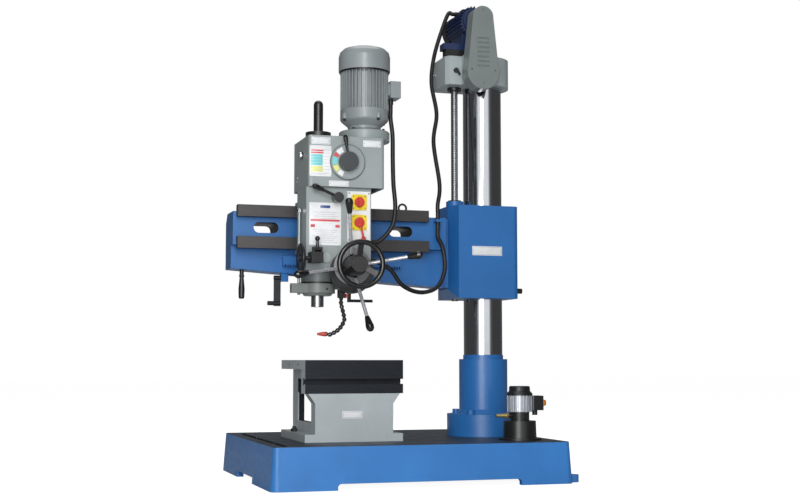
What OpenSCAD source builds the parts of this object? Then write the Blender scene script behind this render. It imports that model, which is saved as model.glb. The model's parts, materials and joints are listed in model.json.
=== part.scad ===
// Radial arm drill: base, column, lifted arm, sliding drill head, box table and coolant pump.
// Millimetres, +Z up, the origin is the column axis on the floor, the arm reaches to -X.

/* [Base] */
// Reach of the base to the left of the column axis, at the floor
base_left = 1060; // [960:5:1200]
// Reach of the base to the right of the column axis, at the floor
base_right = 183; // [175:1:240]
// Depth of the base front to back, at the floor
base_depth = 1090; // [1000:5:1200]
// Height of the base casting
base_height = 167; // [150:1:200]
// Lean of the base sides from floor to top
base_draft = 15; // [4:1:24]
// Thickness of the base top plate
base_top = 55; // [50:1:70]
// Height of the arches between the feet
arch_height = 25; // [15:1:40]

/* [Pedestal and column] */
// Diameter of the ground column
column_d = 170; // [150:1:180]
// Wall of the column tube
column_wall = 20; // [12:1:30]
// Height of the column above the floor
column_top = 1712; // [1660:4:1760]
// Diameter of the bolted pedestal flange
flange_d = 320; // [310:1:340]
// Height of the pedestal flange
flange_height = 95; // [60:1:120]
// Height of the pedestal above the base
pedestal_height = 352; // [320:1:370]

/* [Table] */
// Width of the table along the arm
table_width = 410; // [380:2:460]
// Depth of the table front to back
table_depth = 448; // [420:2:470]
// Height of the table
table_height = 329; // [300:1:332]
// Distance of the table centre from the column axis
table_x = 668; // [640:1:700]

/* [Arm] */
// Reach of the arm from the column axis
arm_reach = 1140; // [1120:5:1240]
// Height of the lower edge of the lower rail
rail_low = 952; // [945:1:960]
// Height of each guide rail
rail_height = 48; // [40:1:52]
// Distance between the lower edges of the two rails
rail_pitch = 130; // [124:1:136]
// How far the rails stand out of the arm's front
rail_depth = 40; // [34:1:44]
// Distance of the rail front from the column axis
rail_front = 165; // [160:1:172]
// Lowest point of the column sleeve
sleeve_bottom = 762; // [745:1:790]
// Top of the column sleeve
sleeve_top = 1165; // [1140:1:1200]

/* [Lift] */
// Diameter of the lift screw
screw_d = 30; // [24:1:34]
// Distance of the lift screw from the column axis
screw_x = 131; // [127:1:140]
// Height of the cap housing
cap_height = 127; // [120:1:150]
// Height of the lift motor axis above the cap
lift_motor_rise = 157; // [150:1:175]
// Radius of the lift motor
lift_motor_r = 72; // [60:1:76]

/* [Head] */
// Distance of the spindle from the column axis, along the arm
head_x = 839; // [800:1:860]
// Distance of the spindle in front of the column axis
head_y = 355; // [353:1:358]
// Height of the gearbox joint over the feed shaft
casing_height = 312; // [304:1:324]
// Height of the gearbox
gearbox_height = 202; // [190:1:230]
// Radius of the main motor cowl
motor_r = 105; // [90:1:108]
// Height of the main motor over its flange
motor_height = 339; // [300:1:380]

/* [Feed] */
// Height of the feed shaft
feed_z = 862; // [858:1:866]
// Length of the feed levers from the shaft
lever_reach = 284; // [250:1:290]
// Forward lean of the feed levers
lever_tilt = 24; // [18:1:26]
// Angle of the first feed lever
lever_angle = 10; // [0:1:30]
// Radius of the traverse handwheel's rim
wheel_r = 86; // [76:1:90]
// Radius of the fine feed wheel
fine_wheel_r = 50; // [44:1:52]
// Diameter of the quill
quill_d = 90; // [84:1:92]
// Diameter of the spindle nose
spindle_d = 50; // [44:1:54]

/* [Hidden] */
$fn = 48;
// clearances
run = 0.3;
seat = 0.05;
// paints
blue = [0.25, 0.50, 0.77];
navy = [0.12, 0.20, 0.42];
grey = [0.62, 0.65, 0.66];
dark = [0.20, 0.22, 0.24];
steel = [0.75, 0.76, 0.78];
black = [0.08, 0.08, 0.09];
white = [0.92, 0.92, 0.92];
red = [0.85, 0.20, 0.15];
brass = [0.75, 0.60, 0.30];
// base
base_y = base_depth / 2;
base_corner = 30;
base_wall = 28;
cell_top = base_height - base_top;
rib = 20;
rib_low = arch_height + 8;
rib_1 = -base_left * 0.6;
rib_2 = -base_left * 0.21;
foot_left = 260;
foot_right = 228;
side_notch = 165;
pad_r = 150;
slot_neck = 18;
slot_head = 32;
slot_head_h = 20;
slot_lip = 22;
slot_y = [-210, -30, 150];
slot_end = -330;
trough_in = 55;
trough_w = 25;
trough_deep = 12;
lug_r = 28;
lug_h = 30;
lug_y = base_y - 75;
lug_hole_r = 9;
lug_x = base_right + 22;
// pump
pump_x = 29;
pump_y = -345;
pump_hole_r = 60;
pump_flange_r = 90;
pump_flange_h = 8;
pump_cone_h = 78;
pump_cone_r1 = 70;
pump_cone_r2 = 67;
pump_neck_r = 40;
pump_neck_h = 37;
pump_body_r = 52;
pump_body_h = 68;
pump_cap_h = 38;
pump_outlet_r = 6;
pump_outlet_bore = 3.5;
pump_outlet_x = pump_x - 105;
pump_z1 = base_height + pump_cone_h;
pump_z2 = pump_z1 + pump_neck_h;
pump_outlet_z = pump_z1 + 22;
pump_z3 = pump_z2 + pump_body_h;
pump_box_w = 44;
pump_box_d = 56;
pump_box_h = 60;
pump_button_r = 12;
pump_box_x = pump_x + pump_body_r;
pump_box_z = pump_z2 + 6;
// pedestal and column
column_r = column_d / 2;
flange_r = flange_d / 2;
stub_r = column_r + 21;
pedestal_top = base_height + pedestal_height;
neck_h = 19;
neck_r = column_r + 3;
bolt_circle_r = flange_r - 27;
bolt_r = 10;
bolt_head_r = 16;
spot_r = bolt_head_r + 1;
bolt_head_h = 18;
column_foot = base_height + 15;
// table
table_x0 = -table_x - table_width / 2;
table_x1 = -table_x + table_width / 2;
table_y = -72;
table_y0 = table_y - table_depth / 2;
table_y1 = table_y + table_depth / 2;
table_top = base_height + table_height;
table_foot_h = 32;
table_slab_h = 135;
table_inset = 42;
table_flare = 13;
table_flare_h = 40;
table_plate_h = 38;
table_overhang = 42;
table_wall = 28;
table_front = 70;
table_window_w = 240;
table_window_z0 = base_height + 76;
table_window_z1 = table_top - 77;
table_groove_z = table_top - 87;
table_tap_r = 5;
table_tap_y = [table_y + 70, table_y - 96];
tbolt_r = 8;
tbolt_x = [table_x0 + 16, table_x1 - 16];
tbolt_y = slot_y[1];
// arm
rail_x0 = -arm_reach + 13;
rail_x1 = -306;
rail_high = rail_low + rail_pitch;
rail_top = rail_high + rail_height;
rail_back = rail_front - rail_depth;
arm_top = rail_top - 24;
arm_back = 45;
arm_step_z = rail_low + 16;
arm_low_front = 85;
arm_end_z = 873;
arm_root_z = 809;
arm_root_x = -242;
slot_r = 22;
slot_half = 30;
slot_z = (rail_low + rail_height + rail_high) / 2;
slot_1 = -arm_reach + 138;
slot_2 = -420;
pocket_x0 = -arm_reach + 220;
pocket_x1 = -500;
pocket_y0 = -60;
pocket_y1 = 20;
pocket_top = 1050;
sleeve_front = 140;
sleeve_right = 116;
sleeve_left = 161;
sleeve_far_left = 185;
sleeve_far_y = 62;
arm_neck_x = 216;
sleeve_round = 22;
sleeve_split = 5;
clamp_y = 114;
clamp_z = sleeve_bottom + 47;
clamp_r = 9;
nut_boss_r = 38;
nut_boss_h = 28;
nut_r = 30;
nut_h = 5;
nut_spigot = 40;
nut_z = sleeve_top + nut_boss_h;
eye_x = -392;
eye_y = -60;
eye_ring_r = 17;
eye_wire_r = 4.5;
eye_stem = 22;
handle_x = -arm_reach + 50;
crank_x = -arm_reach + 200;
crank_y = -60;
crank_z = arm_end_z - 35;
crank_r = 10;
crank_lug = 44;
rack_top = 925;
rack_module = 3.5;
rack_pitch_z = feed_z + 7 * rack_module;
// cap and lift drive
cap_bottom = column_top - 9;
cap_top = cap_bottom + cap_height;
cap_r = column_r + 33;
cap_half = 120;
cap_left = screw_x + 66;
cap_left_half = 84;
cap_left_back = 115;
cap_corner = 18;
cap_boss = 62;
drive_x = -64;
worm_z = cap_bottom + 37;
worm_r = 22;
lift_z = cap_top + lift_motor_rise;
belt_y = -cap_half - 34;
belt_w = 18;
pulley_1_r = 30;
pulley_2_r = 54;
pulley_w = 24;
shaft_r = 10;
loop_kink = 6;
loop_inset = 0.3;
cover_depth = 72;
cover_skin = 2.5;
cover_r1 = 47;
cover_r2 = 73;
louvre_half = 27;
louvre_h = 6;
louvre_z = 24;
louvre_pitch = 20.5;
lift_motor_y0 = -cap_half + 12;
lift_motor_y1 = 110;
lift_cowl_len = 46;
lift_plate_h = 30;
lift_lid_h = 4;
lift_flange_r = lift_motor_r - 14;
lift_foot_h = 58;
lift_foot_x = -screw_x - 74;
screw_r = screw_d / 2;
screw_bottom = sleeve_bottom - 8;
// head
head_split = feed_z + casing_height;
spindle_x = -head_x;
spindle_y = -head_y;
casing_x0 = spindle_x - 72;
casing_x1 = spindle_x + 191;
casing_front = spindle_y - 105;
casing_back = -rail_front - run;
casing_low = feed_z - 17;
saddle_front = spindle_y + 55;
saddle_x0 = casing_x0 + 36;
saddle_x1 = casing_x1 - 8;
keeper_back = rail_back - 24;
keeper_h = 18;
keeper_hook = 12;
barrel_r = 66;
barrel_low = 797;
feed_x = spindle_x + 109;
feed_boss_r = 80;
feed_boss_back = -250;
gearbox_x0 = spindle_x - 68;
gearbox_x1 = spindle_x + 242;
gearbox_front = spindle_y - 125;
gearbox_back = spindle_y + 145;
gearbox_top = head_split + gearbox_height;
gearbox_wall = 12;
gearbox_round = 14;
motor_x = spindle_x + 192;
motor_y = spindle_y;
adapter_h = 50;
motor_z0 = gearbox_top + adapter_h;
motor_z1 = motor_z0 + motor_height;
bell_h = 80;
bell_foot_r = 66;
cowl_h = 100;
motor_core_r = motor_r - 23;
motor_fin_r = motor_r - 7;
motor_fins = 36;
motor_shaft_r = 16;
terminal_x = motor_x + motor_fin_r + 2;
terminal_gland_x = terminal_x + 12;
terminal_w = 44;
terminal_d = 80;
terminal_z = motor_z0 + 135;
terminal_h = 68;
gland_r = 11;
gland_h = 22;
guard_r = 19;
guard_top = gearbox_top + 162;
collar_r = 51;
collar_h = 30;
// gears
gear_module = 3;
gear_z0 = head_split + 40;
gear_h = 30;
spindle_teeth = 32;
idler_teeth = 40;
pinion_teeth = 16;
idler_x = motor_x - gear_module * (pinion_teeth + idler_teeth) / 2;
rod_r = 13;
// feed
quill_r = quill_d / 2;
quill_low = 750;
quill_top = head_split - 94;
spindle_r = spindle_d / 2;
spindle_low = 706;
spindle_top = gearbox_top + 72;
feed_module = 4;
feed_teeth = 28;
feed_pitch_r = feed_module * feed_teeth / 2;
quill_rack_x = feed_x - feed_pitch_r;
rack_half = 12;
feed_shaft_r = 20;
feed_gear_y0 = spindle_y - 15;
feed_gear_y1 = spindle_y + 15;
housing_r = 87;
housing_drop = 20;
housing_front = casing_front - 20;
star_front = housing_front - 89;
star_r = 40;
lever_y = housing_front;
lever_r = 7;
knob_start = lever_reach - 62;
wheel_hub_r = 31;
wheel_front = star_front - 26;
wheel_dish = 44;
wheel_y = star_front - wheel_dish;
spoke_half = 11;
spoke_h = 10;
wheel_wire = 10;
traverse_r = 10;
traverse_teeth = 14;
traverse_y0 = -arm_low_front - 30;
traverse_y1 = -arm_low_front - 2;
clamp_ring_r = 70;
clamp_ring_h = 47;
depth_x = spindle_x - 83;
depth_y = spindle_y - 30;
depth_r = 6;
depth_top = head_split - 79;
block_x0 = spindle_x - 65;
block_x1 = spindle_x - 18;
block_z = feed_z + 27;
block_top = block_z + 24;
ear_x = spindle_x - 36;
ear_gap = 13;
ear_w = 6;
block_front = casing_front - 64;
fine_y = casing_front - 40;
fine_x = casing_x0 - 30;
lock_x = spindle_x + 168;
lock_y = -215;
lock_z = 733;
// fittings on the head front
dial_x = spindle_x + 87;
dial_z = head_split + 99;
dial_r = 71;
dial_h = 10;
speed_reach = 66;
range_x = spindle_x + 49;
range_z = head_split - 43;
range_reach = 66;
panel_x0 = spindle_x + 91;
panel_x1 = casing_x1 - 6;
panel_z0 = head_split - 216;
panel_z1 = head_split - 14;
panel_h = 12;
switch_x = (panel_x0 + panel_x1) / 2;
switch_z = [head_split - 58, head_split - 138];
switch_plate = 62;
switch_plate_h = 4;
valve_x = feed_x - 34;
valve_y = -440;
valve_z = feed_z - feed_boss_r - 6;
valve_h = 36;
valve_axis = valve_z - valve_h + 8;
// cords: route points, then the number of sides and the steps between two points
cord_sides = 8;
cable_r = 9;
hose_r = 8;
hose_bore = 4;
hose_link = 4;
entry_y = -330;
entry_z = feed_z + 113;
lift_entry_y = -262;
lift_entry_z = feed_z + 43;
clip_x = -262;
clip_y = -152;
clip_z = arm_top - 16;
lift_box_x = drive_x - 20;
lift_box_y = 55;
lift_box_z = lift_z + 68;
motor_exit = [terminal_gland_x, motor_y, terminal_z - gland_h];
motor_entry = [casing_x1 + gland_h, entry_y, entry_z];
lift_exit = [lift_box_x - gland_h, lift_box_y, lift_box_z];
lift_clip = [clip_x, clip_y, clip_z];
lift_entry = [saddle_x1 + gland_h, lift_entry_y, lift_entry_z];
hose_start = [valve_x, valve_y, valve_z - valve_h];
hose_end = [-826, -450, 597];
motor_route = [motor_exit, motor_exit - [0, 0, 25], motor_exit - [0, 0, 60], [-526, -353, 1410], [-524,
  -350, 1310],
  [-520, -346, 1214], [-511, -342, 1124], [-518, -338, 1053], [-546, -333, 1006],
  motor_entry + [44, 0, 0], motor_entry + [20, 0, 0], motor_entry];
upper_route = [lift_exit, lift_exit - [15, 0, 0], lift_exit - [32, 0, 0], [-168, 50, 1985], [-214, 32,
  1850],
  [-238, 0, 1720], [-228, -40, 1575], [-256, -80, 1440], [-246, -130, 1250], lift_clip + [0, 0, 70],
  lift_clip + [0, 0, 30], lift_clip];
lower_route = [lift_clip, lift_clip - [0, 0, 30], lift_clip - [0, 0, 70], [-250, -180, 970], [-246,
  -195, 880],
  [-285, -210, 803], [-365, -225, 778], [-450, -245, 805], [-510, -258, 872],
  lift_entry + [48, 0, 0], lift_entry + [20, 0, 0], lift_entry];
hose_route = [hose_start, hose_start - [0, 0, 10], hose_start - [0, 0, 20], [-762, -447, 700], [-757,
  -450, 678],
  [-754, -450, 650], [-774, -450, 617], hose_end + [20, 0, 0], hose_end + [10, 0, 0], hose_end];

// a box between two corners
module box(x0, x1, y0, y1, z0, z1) {
  translate([x0, y0, z0])
    cube([x1 - x0, y1 - y0, z1 - z0]);
}

// round bars along X, Y and Z
module bar_x(y, z, x0, x1, r) {
  translate([x0, y, z])
    rotate([0, 90, 0])
      cylinder(r = r, h = x1 - x0);
}

module bar_y(x, z, y0, y1, r) {
  translate([x, y0, z])
    rotate([-90, 0, 0])
      cylinder(r = r, h = y1 - y0);
}

module bar_z(x, y, z0, z1, r) {
  translate([x, y, z0])
    cylinder(r = r, h = z1 - z0);
}

// a flat shape drawn in X and Z, with its thickness from y0 to y1
module sheet_y(y0, y1) {
  translate([0, y1, 0])
    rotate([90, 0, 0])
      linear_extrude(height = y1 - y0)
        children();
}

// a flat shape drawn in Y and Z, with its length from x0 to x1
module sheet_x(x0, x1) {
  translate([x0, 0, 0])
    rotate([90, 0, 90])
      linear_extrude(height = x1 - x0)
        children();
}

// a rounded rectangle of real arcs
module round_rect(x0, x1, y0, y1, r) {
  translate([x0 + r, y0])
    square([x1 - x0 - 2 * r, y1 - y0]);
  translate([x0, y0 + r])
    square([x1 - x0, y1 - y0 - 2 * r]);
  for (x = [x0 + r, x1 - r], y = [y0 + r, y1 - r])
    translate([x, y])
      circle(r = r);
}

// the outline of a loop round two discs, the first at height d above the second
module loop_shape(r1, r2, d) {
  low = asin((r2 - r1) / d) + loop_kink;
  high = low - 2 * loop_kink;
  low_x = (r2 - loop_inset) * cos(low);
  low_y = (r2 - loop_inset) * sin(low);
  high_x = (r1 - loop_inset) * cos(high);
  high_y = d + (r1 - loop_inset) * sin(high);
  translate([0, d])
    circle(r = r1);
  circle(r = r2);
  polygon([[low_x, low_y], [high_x, high_y], [-high_x, high_y], [-low_x, low_y]]);
}

// gear and rack teeth with straight flanks and open backlash
tooth_root = 0.29;
tooth_tip = 0.12;
tooth_deep = 1.25;

module gear_shape(teeth, module_mm, turn) {
  step = 360 / teeth;
  low = module_mm * (teeth / 2 - tooth_deep);
  high = module_mm * (teeth / 2 + 1);
  polygon([for (i = [0 : teeth - 1], k = [0 : 3])
    let (a = turn + step * (i + [-tooth_root, -tooth_tip, tooth_tip, tooth_root][k]),
      r = [low, high, high, low][k])
    [r * cos(a), r * sin(a)]]);
}

// teeth stand towards +Y of the flat drawing, the pitch line is y = 0, a gap is centred at x = 0
module rack_shape(module_mm, first, last, back) {
  p = PI * module_mm;
  polygon(concat([[p * first, -back]], [for (i = [first : last - 1], k = [0 : 3])
    let (c = p * (i + 0.5))
    [c + p * [-tooth_root, -tooth_tip, tooth_tip, tooth_root][k],
      module_mm * [-tooth_deep, 1, 1, -tooth_deep][k]]], [[p * last, -back]]));
}

// cords: a smooth line through the route, with a ring of points at each step
function blend(a, b, c, d, t) = 0.5 * (2 * b + (c - a) * t + (2 * a - 5 * b + 4 * c - d) * t * t
  + (3 * b - a - 3 * c + d) * t * t * t);
function route_point(p, i, t) = blend(p[max(i - 1, 0)], p[i], p[min(i + 1, len(p) - 1)],
  p[min(i + 2, len(p) - 1)], t);
function route_line(p, steps) = concat([for (i = [0 : len(p) - 2], k = [0 : steps - 1])
  route_point(p, i, k / steps)], [p[len(p) - 1]]);
function unit(v) = v / norm(v);
function heading(p, i) = unit(p[min(i + 1, len(p) - 1)] - p[max(i - 1, 0)]);
function ring(c, t, r) = let (u = unit(cross(t, [0, 1, 0])), w = cross(t, u))
  [for (k = [0 : cord_sides - 1]) c + r * (cos(360 * k / cord_sides) * u + sin(360 * k / cord_sides) * w)];
function skin(n, first) = [for (i = [0 : n - 2], k = [0 : cord_sides - 1])
  let (j = (k + 1) % cord_sides, a = first + i * cord_sides)
  [a + k, a + j, a + cord_sides + j, a + cord_sides + k]];
function turned(f) = [for (q = f) [q[3], q[2], q[1], q[0]]];

module solid_cord(p, steps, r) {
  line = route_line(p, steps);
  n = len(line);
  polyhedron(points = [for (i = [0 : n - 1]) each ring(line[i], heading(line, i), r)],
    faces = concat(turned(skin(n, 0)), [[for (k = [0 : cord_sides - 1]) k]],
      [[for (k = [cord_sides - 1 : -1 : 0]) (n - 1) * cord_sides + k]]));
}

// a hose of round links with an open bore
module link_hose(p, steps, r, neck, bore) {
  line = route_line(p, steps);
  n = len(line);
  m = n * cord_sides;
  last = (n - 1) * cord_sides;
  polyhedron(points = concat([for (i = [0 : n - 1]) each ring(line[i], heading(line, i),
    i % 2 == 0 ? neck : r)],
    [for (i = [0 : n - 1]) each ring(line[i], heading(line, i), bore)]),
    faces = concat(turned(skin(n, 0)), skin(n, m),
      [for (k = [0 : cord_sides - 1]) let (j = (k + 1) % cord_sides) [k, j, m + j, m + k]],
      [for (k = [0 : cord_sides - 1]) let (j = (k + 1) % cord_sides)
        [last + j, last + k, m + last + k, m + last + j]]));
}

// Stand

module base_shell() {
  hull()
    for (x = [-base_left + base_corner, base_right - base_corner], y = [-base_y + base_corner,
      base_y - base_corner])
      translate([x, y, 0])
        cylinder(r1 = base_corner, r2 = base_corner - base_draft * 0.8, h = base_height, $fn = 32);
}

module base_slot(y) {
  box(-base_left + trough_in, slot_end, y - slot_neck / 2, y + slot_neck / 2,
    base_height - slot_lip - 1, base_height + 1);
  box(-base_left + trough_in, slot_end, y - slot_head / 2, y + slot_head / 2,
    base_height - slot_lip - slot_head_h, base_height - slot_lip);
}

module base_trough() {
  z = base_height - trough_deep;
  x0 = -base_left + trough_in;
  y0 = base_y - trough_in;
  box(x0, x0 + trough_w, -y0, y0, z, base_height + 1);
  box(x0, slot_end, -y0, -y0 + trough_w, z, base_height + 1);
  box(x0, slot_end, y0 - trough_w, y0, z, base_height + 1);
}

module base_arch(y0, y1) {
  sheet_y(y0, y1)
    round_rect(-base_left + foot_left, base_right - foot_right, -arch_height, arch_height,
      arch_height * 0.6);
}

module base_casting() {
  inner = base_y - base_wall;
  color(blue)
    difference() {
      union() {
        difference() {
          base_shell();
          box(-base_left + base_wall, rib_1 - rib / 2, -inner, inner, -1, cell_top);
          box(rib_1 + rib / 2, rib_2 - rib / 2, -inner, inner, -1, cell_top);
          box(rib_2 + rib / 2, base_right - base_wall, -inner, inner, -1, cell_top);
          box(-base_left + base_wall, base_right - base_wall, -inner, inner, -1, rib_low);
        }
        bar_z(0, 0, rib_low, cell_top + 1, pad_r);
        for (y = [-lug_y, lug_y])
          bar_z(lug_x, y, 0, lug_h, lug_r);
      }
      for (y = slot_y)
        base_slot(y);
      base_trough();
      base_arch(-base_y - 1, -inner + 1);
      base_arch(inner - 1, base_y + 1);
      box(-base_left - 1, -base_left + base_wall + 1, -side_notch, side_notch, -1, arch_height);
      bar_z(pump_x, pump_y, cell_top - 1, base_height + 1, pump_hole_r);
      for (y = [-lug_y, lug_y])
        bar_z(lug_x, y, -1, lug_h + 1, lug_hole_r);
    }
}

module column_pedestal() {
  color(blue)
    difference() {
      union() {
        bar_z(0, 0, base_height, base_height + flange_height, flange_r);
        translate([0, 0, base_height + flange_height - 1])
          cylinder(r1 = stub_r + 14, r2 = stub_r, h = 22);
        bar_z(0, 0, base_height, pedestal_top - neck_h, stub_r);
        bar_z(0, 0, base_height, pedestal_top, neck_r);
      }
      bar_z(0, 0, column_foot, pedestal_top + 1, column_r + seat);
      for (a = [45 : 90 : 315])
        rotate(a) {
          bar_z(bolt_circle_r, 0, base_height - 1, base_height + flange_height + 1, bolt_r + seat);
          bar_z(bolt_circle_r, 0, base_height + flange_height, pedestal_top, spot_r);
        }
    }
}

module stand_bolts() {
  color(steel) {
    for (a = [45 : 90 : 315])
      rotate(a) {
        bar_z(bolt_circle_r, 0, base_height, base_height + flange_height + 1, bolt_r);
        bar_z(bolt_circle_r, 0, base_height + flange_height, base_height + flange_height + bolt_head_h,
          bolt_head_r);
      }
    for (x = tbolt_x) {
      y = tbolt_y;
      foot = base_height + table_foot_h;
      bar_z(x, y, base_height - slot_lip - 2, foot + 22, tbolt_r);
      box(x - 13, x + 13, y - 14, y + 14, base_height - slot_lip - 10, base_height - slot_lip);
      translate([x, y, foot])
        cylinder(r = 14, h = 13, $fn = 6);
    }
  }
}

module column_tube() {
  color(steel)
    difference() {
      bar_z(0, 0, column_foot, column_top, column_r);
      bar_z(0, 0, column_foot - 1, column_top + 1, column_r - column_wall);
    }
}

module work_table() {
  slab = table_top - table_slab_h;
  foot = base_height + table_foot_h;
  x0 = table_x0 + table_inset;
  x1 = table_x1 - table_inset;
  back = table_y1 - table_overhang;
  hollow = table_y0 + table_front;
  color(grey)
    difference() {
      union() {
        box(table_x0, table_x1, table_y0, table_y1, base_height, foot);
        box(table_x0, table_x1, table_y0, table_y1, table_top - table_plate_h, table_top);
        box(x0, x1, table_y0, back, foot - 1, table_top - 1);
        box(table_x0, table_x1, table_y0, hollow, slab, table_top);
        sheet_y(table_y0, hollow)
          polygon([[x0, slab - table_flare_h], [table_x0 + table_flare, slab + 1],
            [table_x1 - table_flare, slab + 1],
            [x1, slab - table_flare_h]]);
      }
      box(x0 + table_wall, x1 - table_wall, hollow, back + 1, foot, table_top - table_plate_h);
      box(x0 - 1, x1 + 1, hollow, hollow + table_window_w, table_window_z0, table_window_z1);
      box(table_x0 - 1, table_x1 + 1, table_y0 - 1, table_y0 + 22, table_groove_z - 10,
        table_groove_z + 10);
      box(table_x0 - 1, table_x1 + 1, table_y0 + 20, table_y0 + 36, table_groove_z - 15,
        table_groove_z + 15);
      for (x = tbolt_x) {
        bar_z(x, tbolt_y, base_height - 1, foot + 1, tbolt_r + seat);
        bar_z(x, tbolt_y, foot, foot + 40, 17);
      }
      for (y = table_tap_y)
        bar_x(y, table_top - table_plate_h / 2, table_x0 - 1, table_x0 + 24, table_tap_r);
    }
}

module pump_foot() {
  color(black)
    difference() {
      union() {
        bar_z(pump_x, pump_y, base_height, base_height + pump_flange_h, pump_flange_r);
        translate([pump_x, pump_y, base_height])
          cylinder(r1 = pump_cone_r1, r2 = pump_cone_r2, h = pump_cone_h);
        bar_z(pump_x, pump_y, pump_z1 - 1, pump_z2, pump_neck_r);
        bar_z(pump_x, pump_y, base_height - 120, base_height + 1, pump_hole_r - 4);
        bar_x(pump_y, pump_outlet_z, pump_outlet_x, pump_x, pump_outlet_r);
        bar_x(pump_y, pump_outlet_z, pump_x - pump_neck_r - 12, pump_x, pump_outlet_r + 5);
      }
      bar_x(pump_y, pump_outlet_z, pump_outlet_x - 1, pump_x, pump_outlet_bore);
    }
}

module pump_motor_body() {
  fins = 24;
  color(steel) {
    translate([pump_x, pump_y, pump_z2])
      linear_extrude(height = pump_body_h)
        union() {
          circle(r = pump_body_r - 6);
          for (i = [0 : fins - 1])
            rotate(360 * i / fins)
              translate([0, -2])
                square([pump_body_r, 4]);
        }
    difference() {
      union() {
        box(pump_box_x - 1, pump_box_x + pump_box_w, pump_y - pump_box_d / 2, pump_y + pump_box_d / 2,
          pump_box_z, pump_box_z + pump_box_h);
        bar_z(pump_box_x + 16, pump_y, pump_box_z - 20, pump_box_z + 1, 11);
      }
      bar_x(pump_y, pump_box_z + pump_box_h / 2, pump_box_x + pump_box_w - 15,
        pump_box_x + pump_box_w + 1, pump_button_r + run);
    }
  }
}

module pump_motor_cap() {
  color(black)
    translate([pump_x, pump_y, pump_z3])
      rotate_extrude()
        polygon([[0, 0], [pump_body_r + 2, 0], [pump_body_r + 2, 7], [pump_body_r - 8, 18],
          [pump_body_r - 9, pump_cap_h - 3],
          [pump_body_r - 12, pump_cap_h], [0, pump_cap_h]]);
}

module pump_switch() {
  color(red)
    bar_x(pump_y, pump_box_z + pump_box_h / 2, pump_box_x + pump_box_w - 10,
      pump_box_x + pump_box_w + 19, pump_button_r);
}

// Column top

module cap_plan() {
  circle(r = cap_r);
  polygon([[-cap_left, -cap_left_half + cap_corner], [-cap_left + cap_corner, -cap_left_half], [0,
    -cap_left_half],
    [0, cap_r - 1], [-cap_left + cap_corner, cap_left_back], [-cap_left, cap_left_back - cap_corner]]);
  translate([drive_x - cap_boss, -cap_half])
    square([2 * cap_boss, cap_half]);
}

module cap_housing() {
  color(grey)
    difference() {
      translate([0, 0, cap_bottom])
        linear_extrude(height = cap_height)
          cap_plan();
      bar_z(0, 0, cap_bottom - 1, column_top + run, column_r + run);
      bar_z(-screw_x, 0, cap_bottom - 1, worm_z, screw_r + run);
      box(-screw_x - 52, drive_x + 28, -52, 52, worm_z - worm_r - 1, cap_top + 1);
      bar_y(drive_x, worm_z, -cap_half - 1, 80, shaft_r + run);
    }
}

module lift_motor_body() {
  fins = 28;
  foot = cap_top + lift_foot_h;
  color(navy)
    difference() {
      union() {
        translate([drive_x, lift_motor_y1, lift_z])
          rotate([90, 0, 0])
            linear_extrude(height = lift_motor_y1 - lift_motor_y0 - 20)
              union() {
                circle(r = lift_motor_r - 9);
                for (i = [0 : fins - 1])
                  rotate(360 * i / fins)
                    translate([0, -1.5])
                      square([lift_motor_r, 3]);
              }
        bar_y(drive_x, lift_z, lift_motor_y0, lift_motor_y0 + 26, lift_flange_r);
        box(lift_foot_x + 14, drive_x + 60, -60, 60, cap_top, cap_top + lift_lid_h);
        box(lift_foot_x + 8, drive_x + 60, -80, -34, cap_top, cap_top + lift_plate_h);
        box(lift_foot_x, drive_x + 60, -75, -18, cap_top + lift_plate_h - 1, foot);
        box(drive_x - 52, drive_x + 52, -70, 80, cap_top, lift_z - lift_motor_r * 0.7);
        box(lift_box_x, drive_x + 44, 15, 95, lift_z + 34, lift_z + 84);
        bar_x(lift_box_y, lift_box_z, lift_box_x - gland_h, lift_box_x + 1, gland_r);
      }
      bar_y(drive_x, lift_z, lift_motor_y0 - 1, lift_motor_y0 + 60, shaft_r + run);
    }
}

module lift_motor_cowl() {
  color(black)
    translate([drive_x, lift_motor_y1, lift_z])
      rotate([-90, 0, 0])
        rotate_extrude()
          polygon([[0, 0], [lift_motor_r + 2, 0], [lift_motor_r + 2, lift_cowl_len - 14],
            [lift_motor_r - 10, lift_cowl_len], [0, lift_cowl_len]]);
}

module belt_cover() {
  d = lift_z - worm_z;
  front = -cap_half - cover_depth;
  color(grey)
    difference() {
      translate([drive_x, 0, worm_z])
        sheet_y(front, -cap_half)
          loop_shape(cover_r1, cover_r2, d);
      translate([drive_x, 0, worm_z])
        sheet_y(front + cover_skin, -cap_half + 1)
          loop_shape(cover_r1 - cover_skin, cover_r2 - cover_skin, d);
      for (i = [0 : 6])
        box(drive_x - louvre_half, drive_x + louvre_half, front - 1, front + cover_skin / 2,
          worm_z + louvre_z + louvre_pitch * i,
          worm_z + louvre_z + louvre_pitch * i + louvre_h);
    }
}

module motor_pulley() {
  color(dark) {
    bar_y(drive_x, lift_z, belt_y - pulley_w / 2, belt_y + pulley_w / 2, pulley_1_r);
    bar_y(drive_x, lift_z, belt_y, lift_motor_y0 + 50, shaft_r);
  }
}

module worm_pulley() {
  color(dark) {
    bar_y(drive_x, worm_z, belt_y - pulley_w / 2, belt_y + pulley_w / 2, pulley_2_r);
    bar_y(drive_x, worm_z, belt_y, 76, shaft_r);
    bar_y(drive_x, worm_z, -44, 44, worm_r);
  }
}

module lift_belt() {
  d = lift_z - worm_z;
  color(black)
    translate([drive_x, 0, worm_z])
      difference() {
        sheet_y(belt_y - belt_w / 2, belt_y + belt_w / 2)
          loop_shape(pulley_1_r + run + 7, pulley_2_r + run + 7, d);
        sheet_y(belt_y - belt_w, belt_y + belt_w)
          loop_shape(pulley_1_r + run, pulley_2_r + run, d);
      }
}

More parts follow.
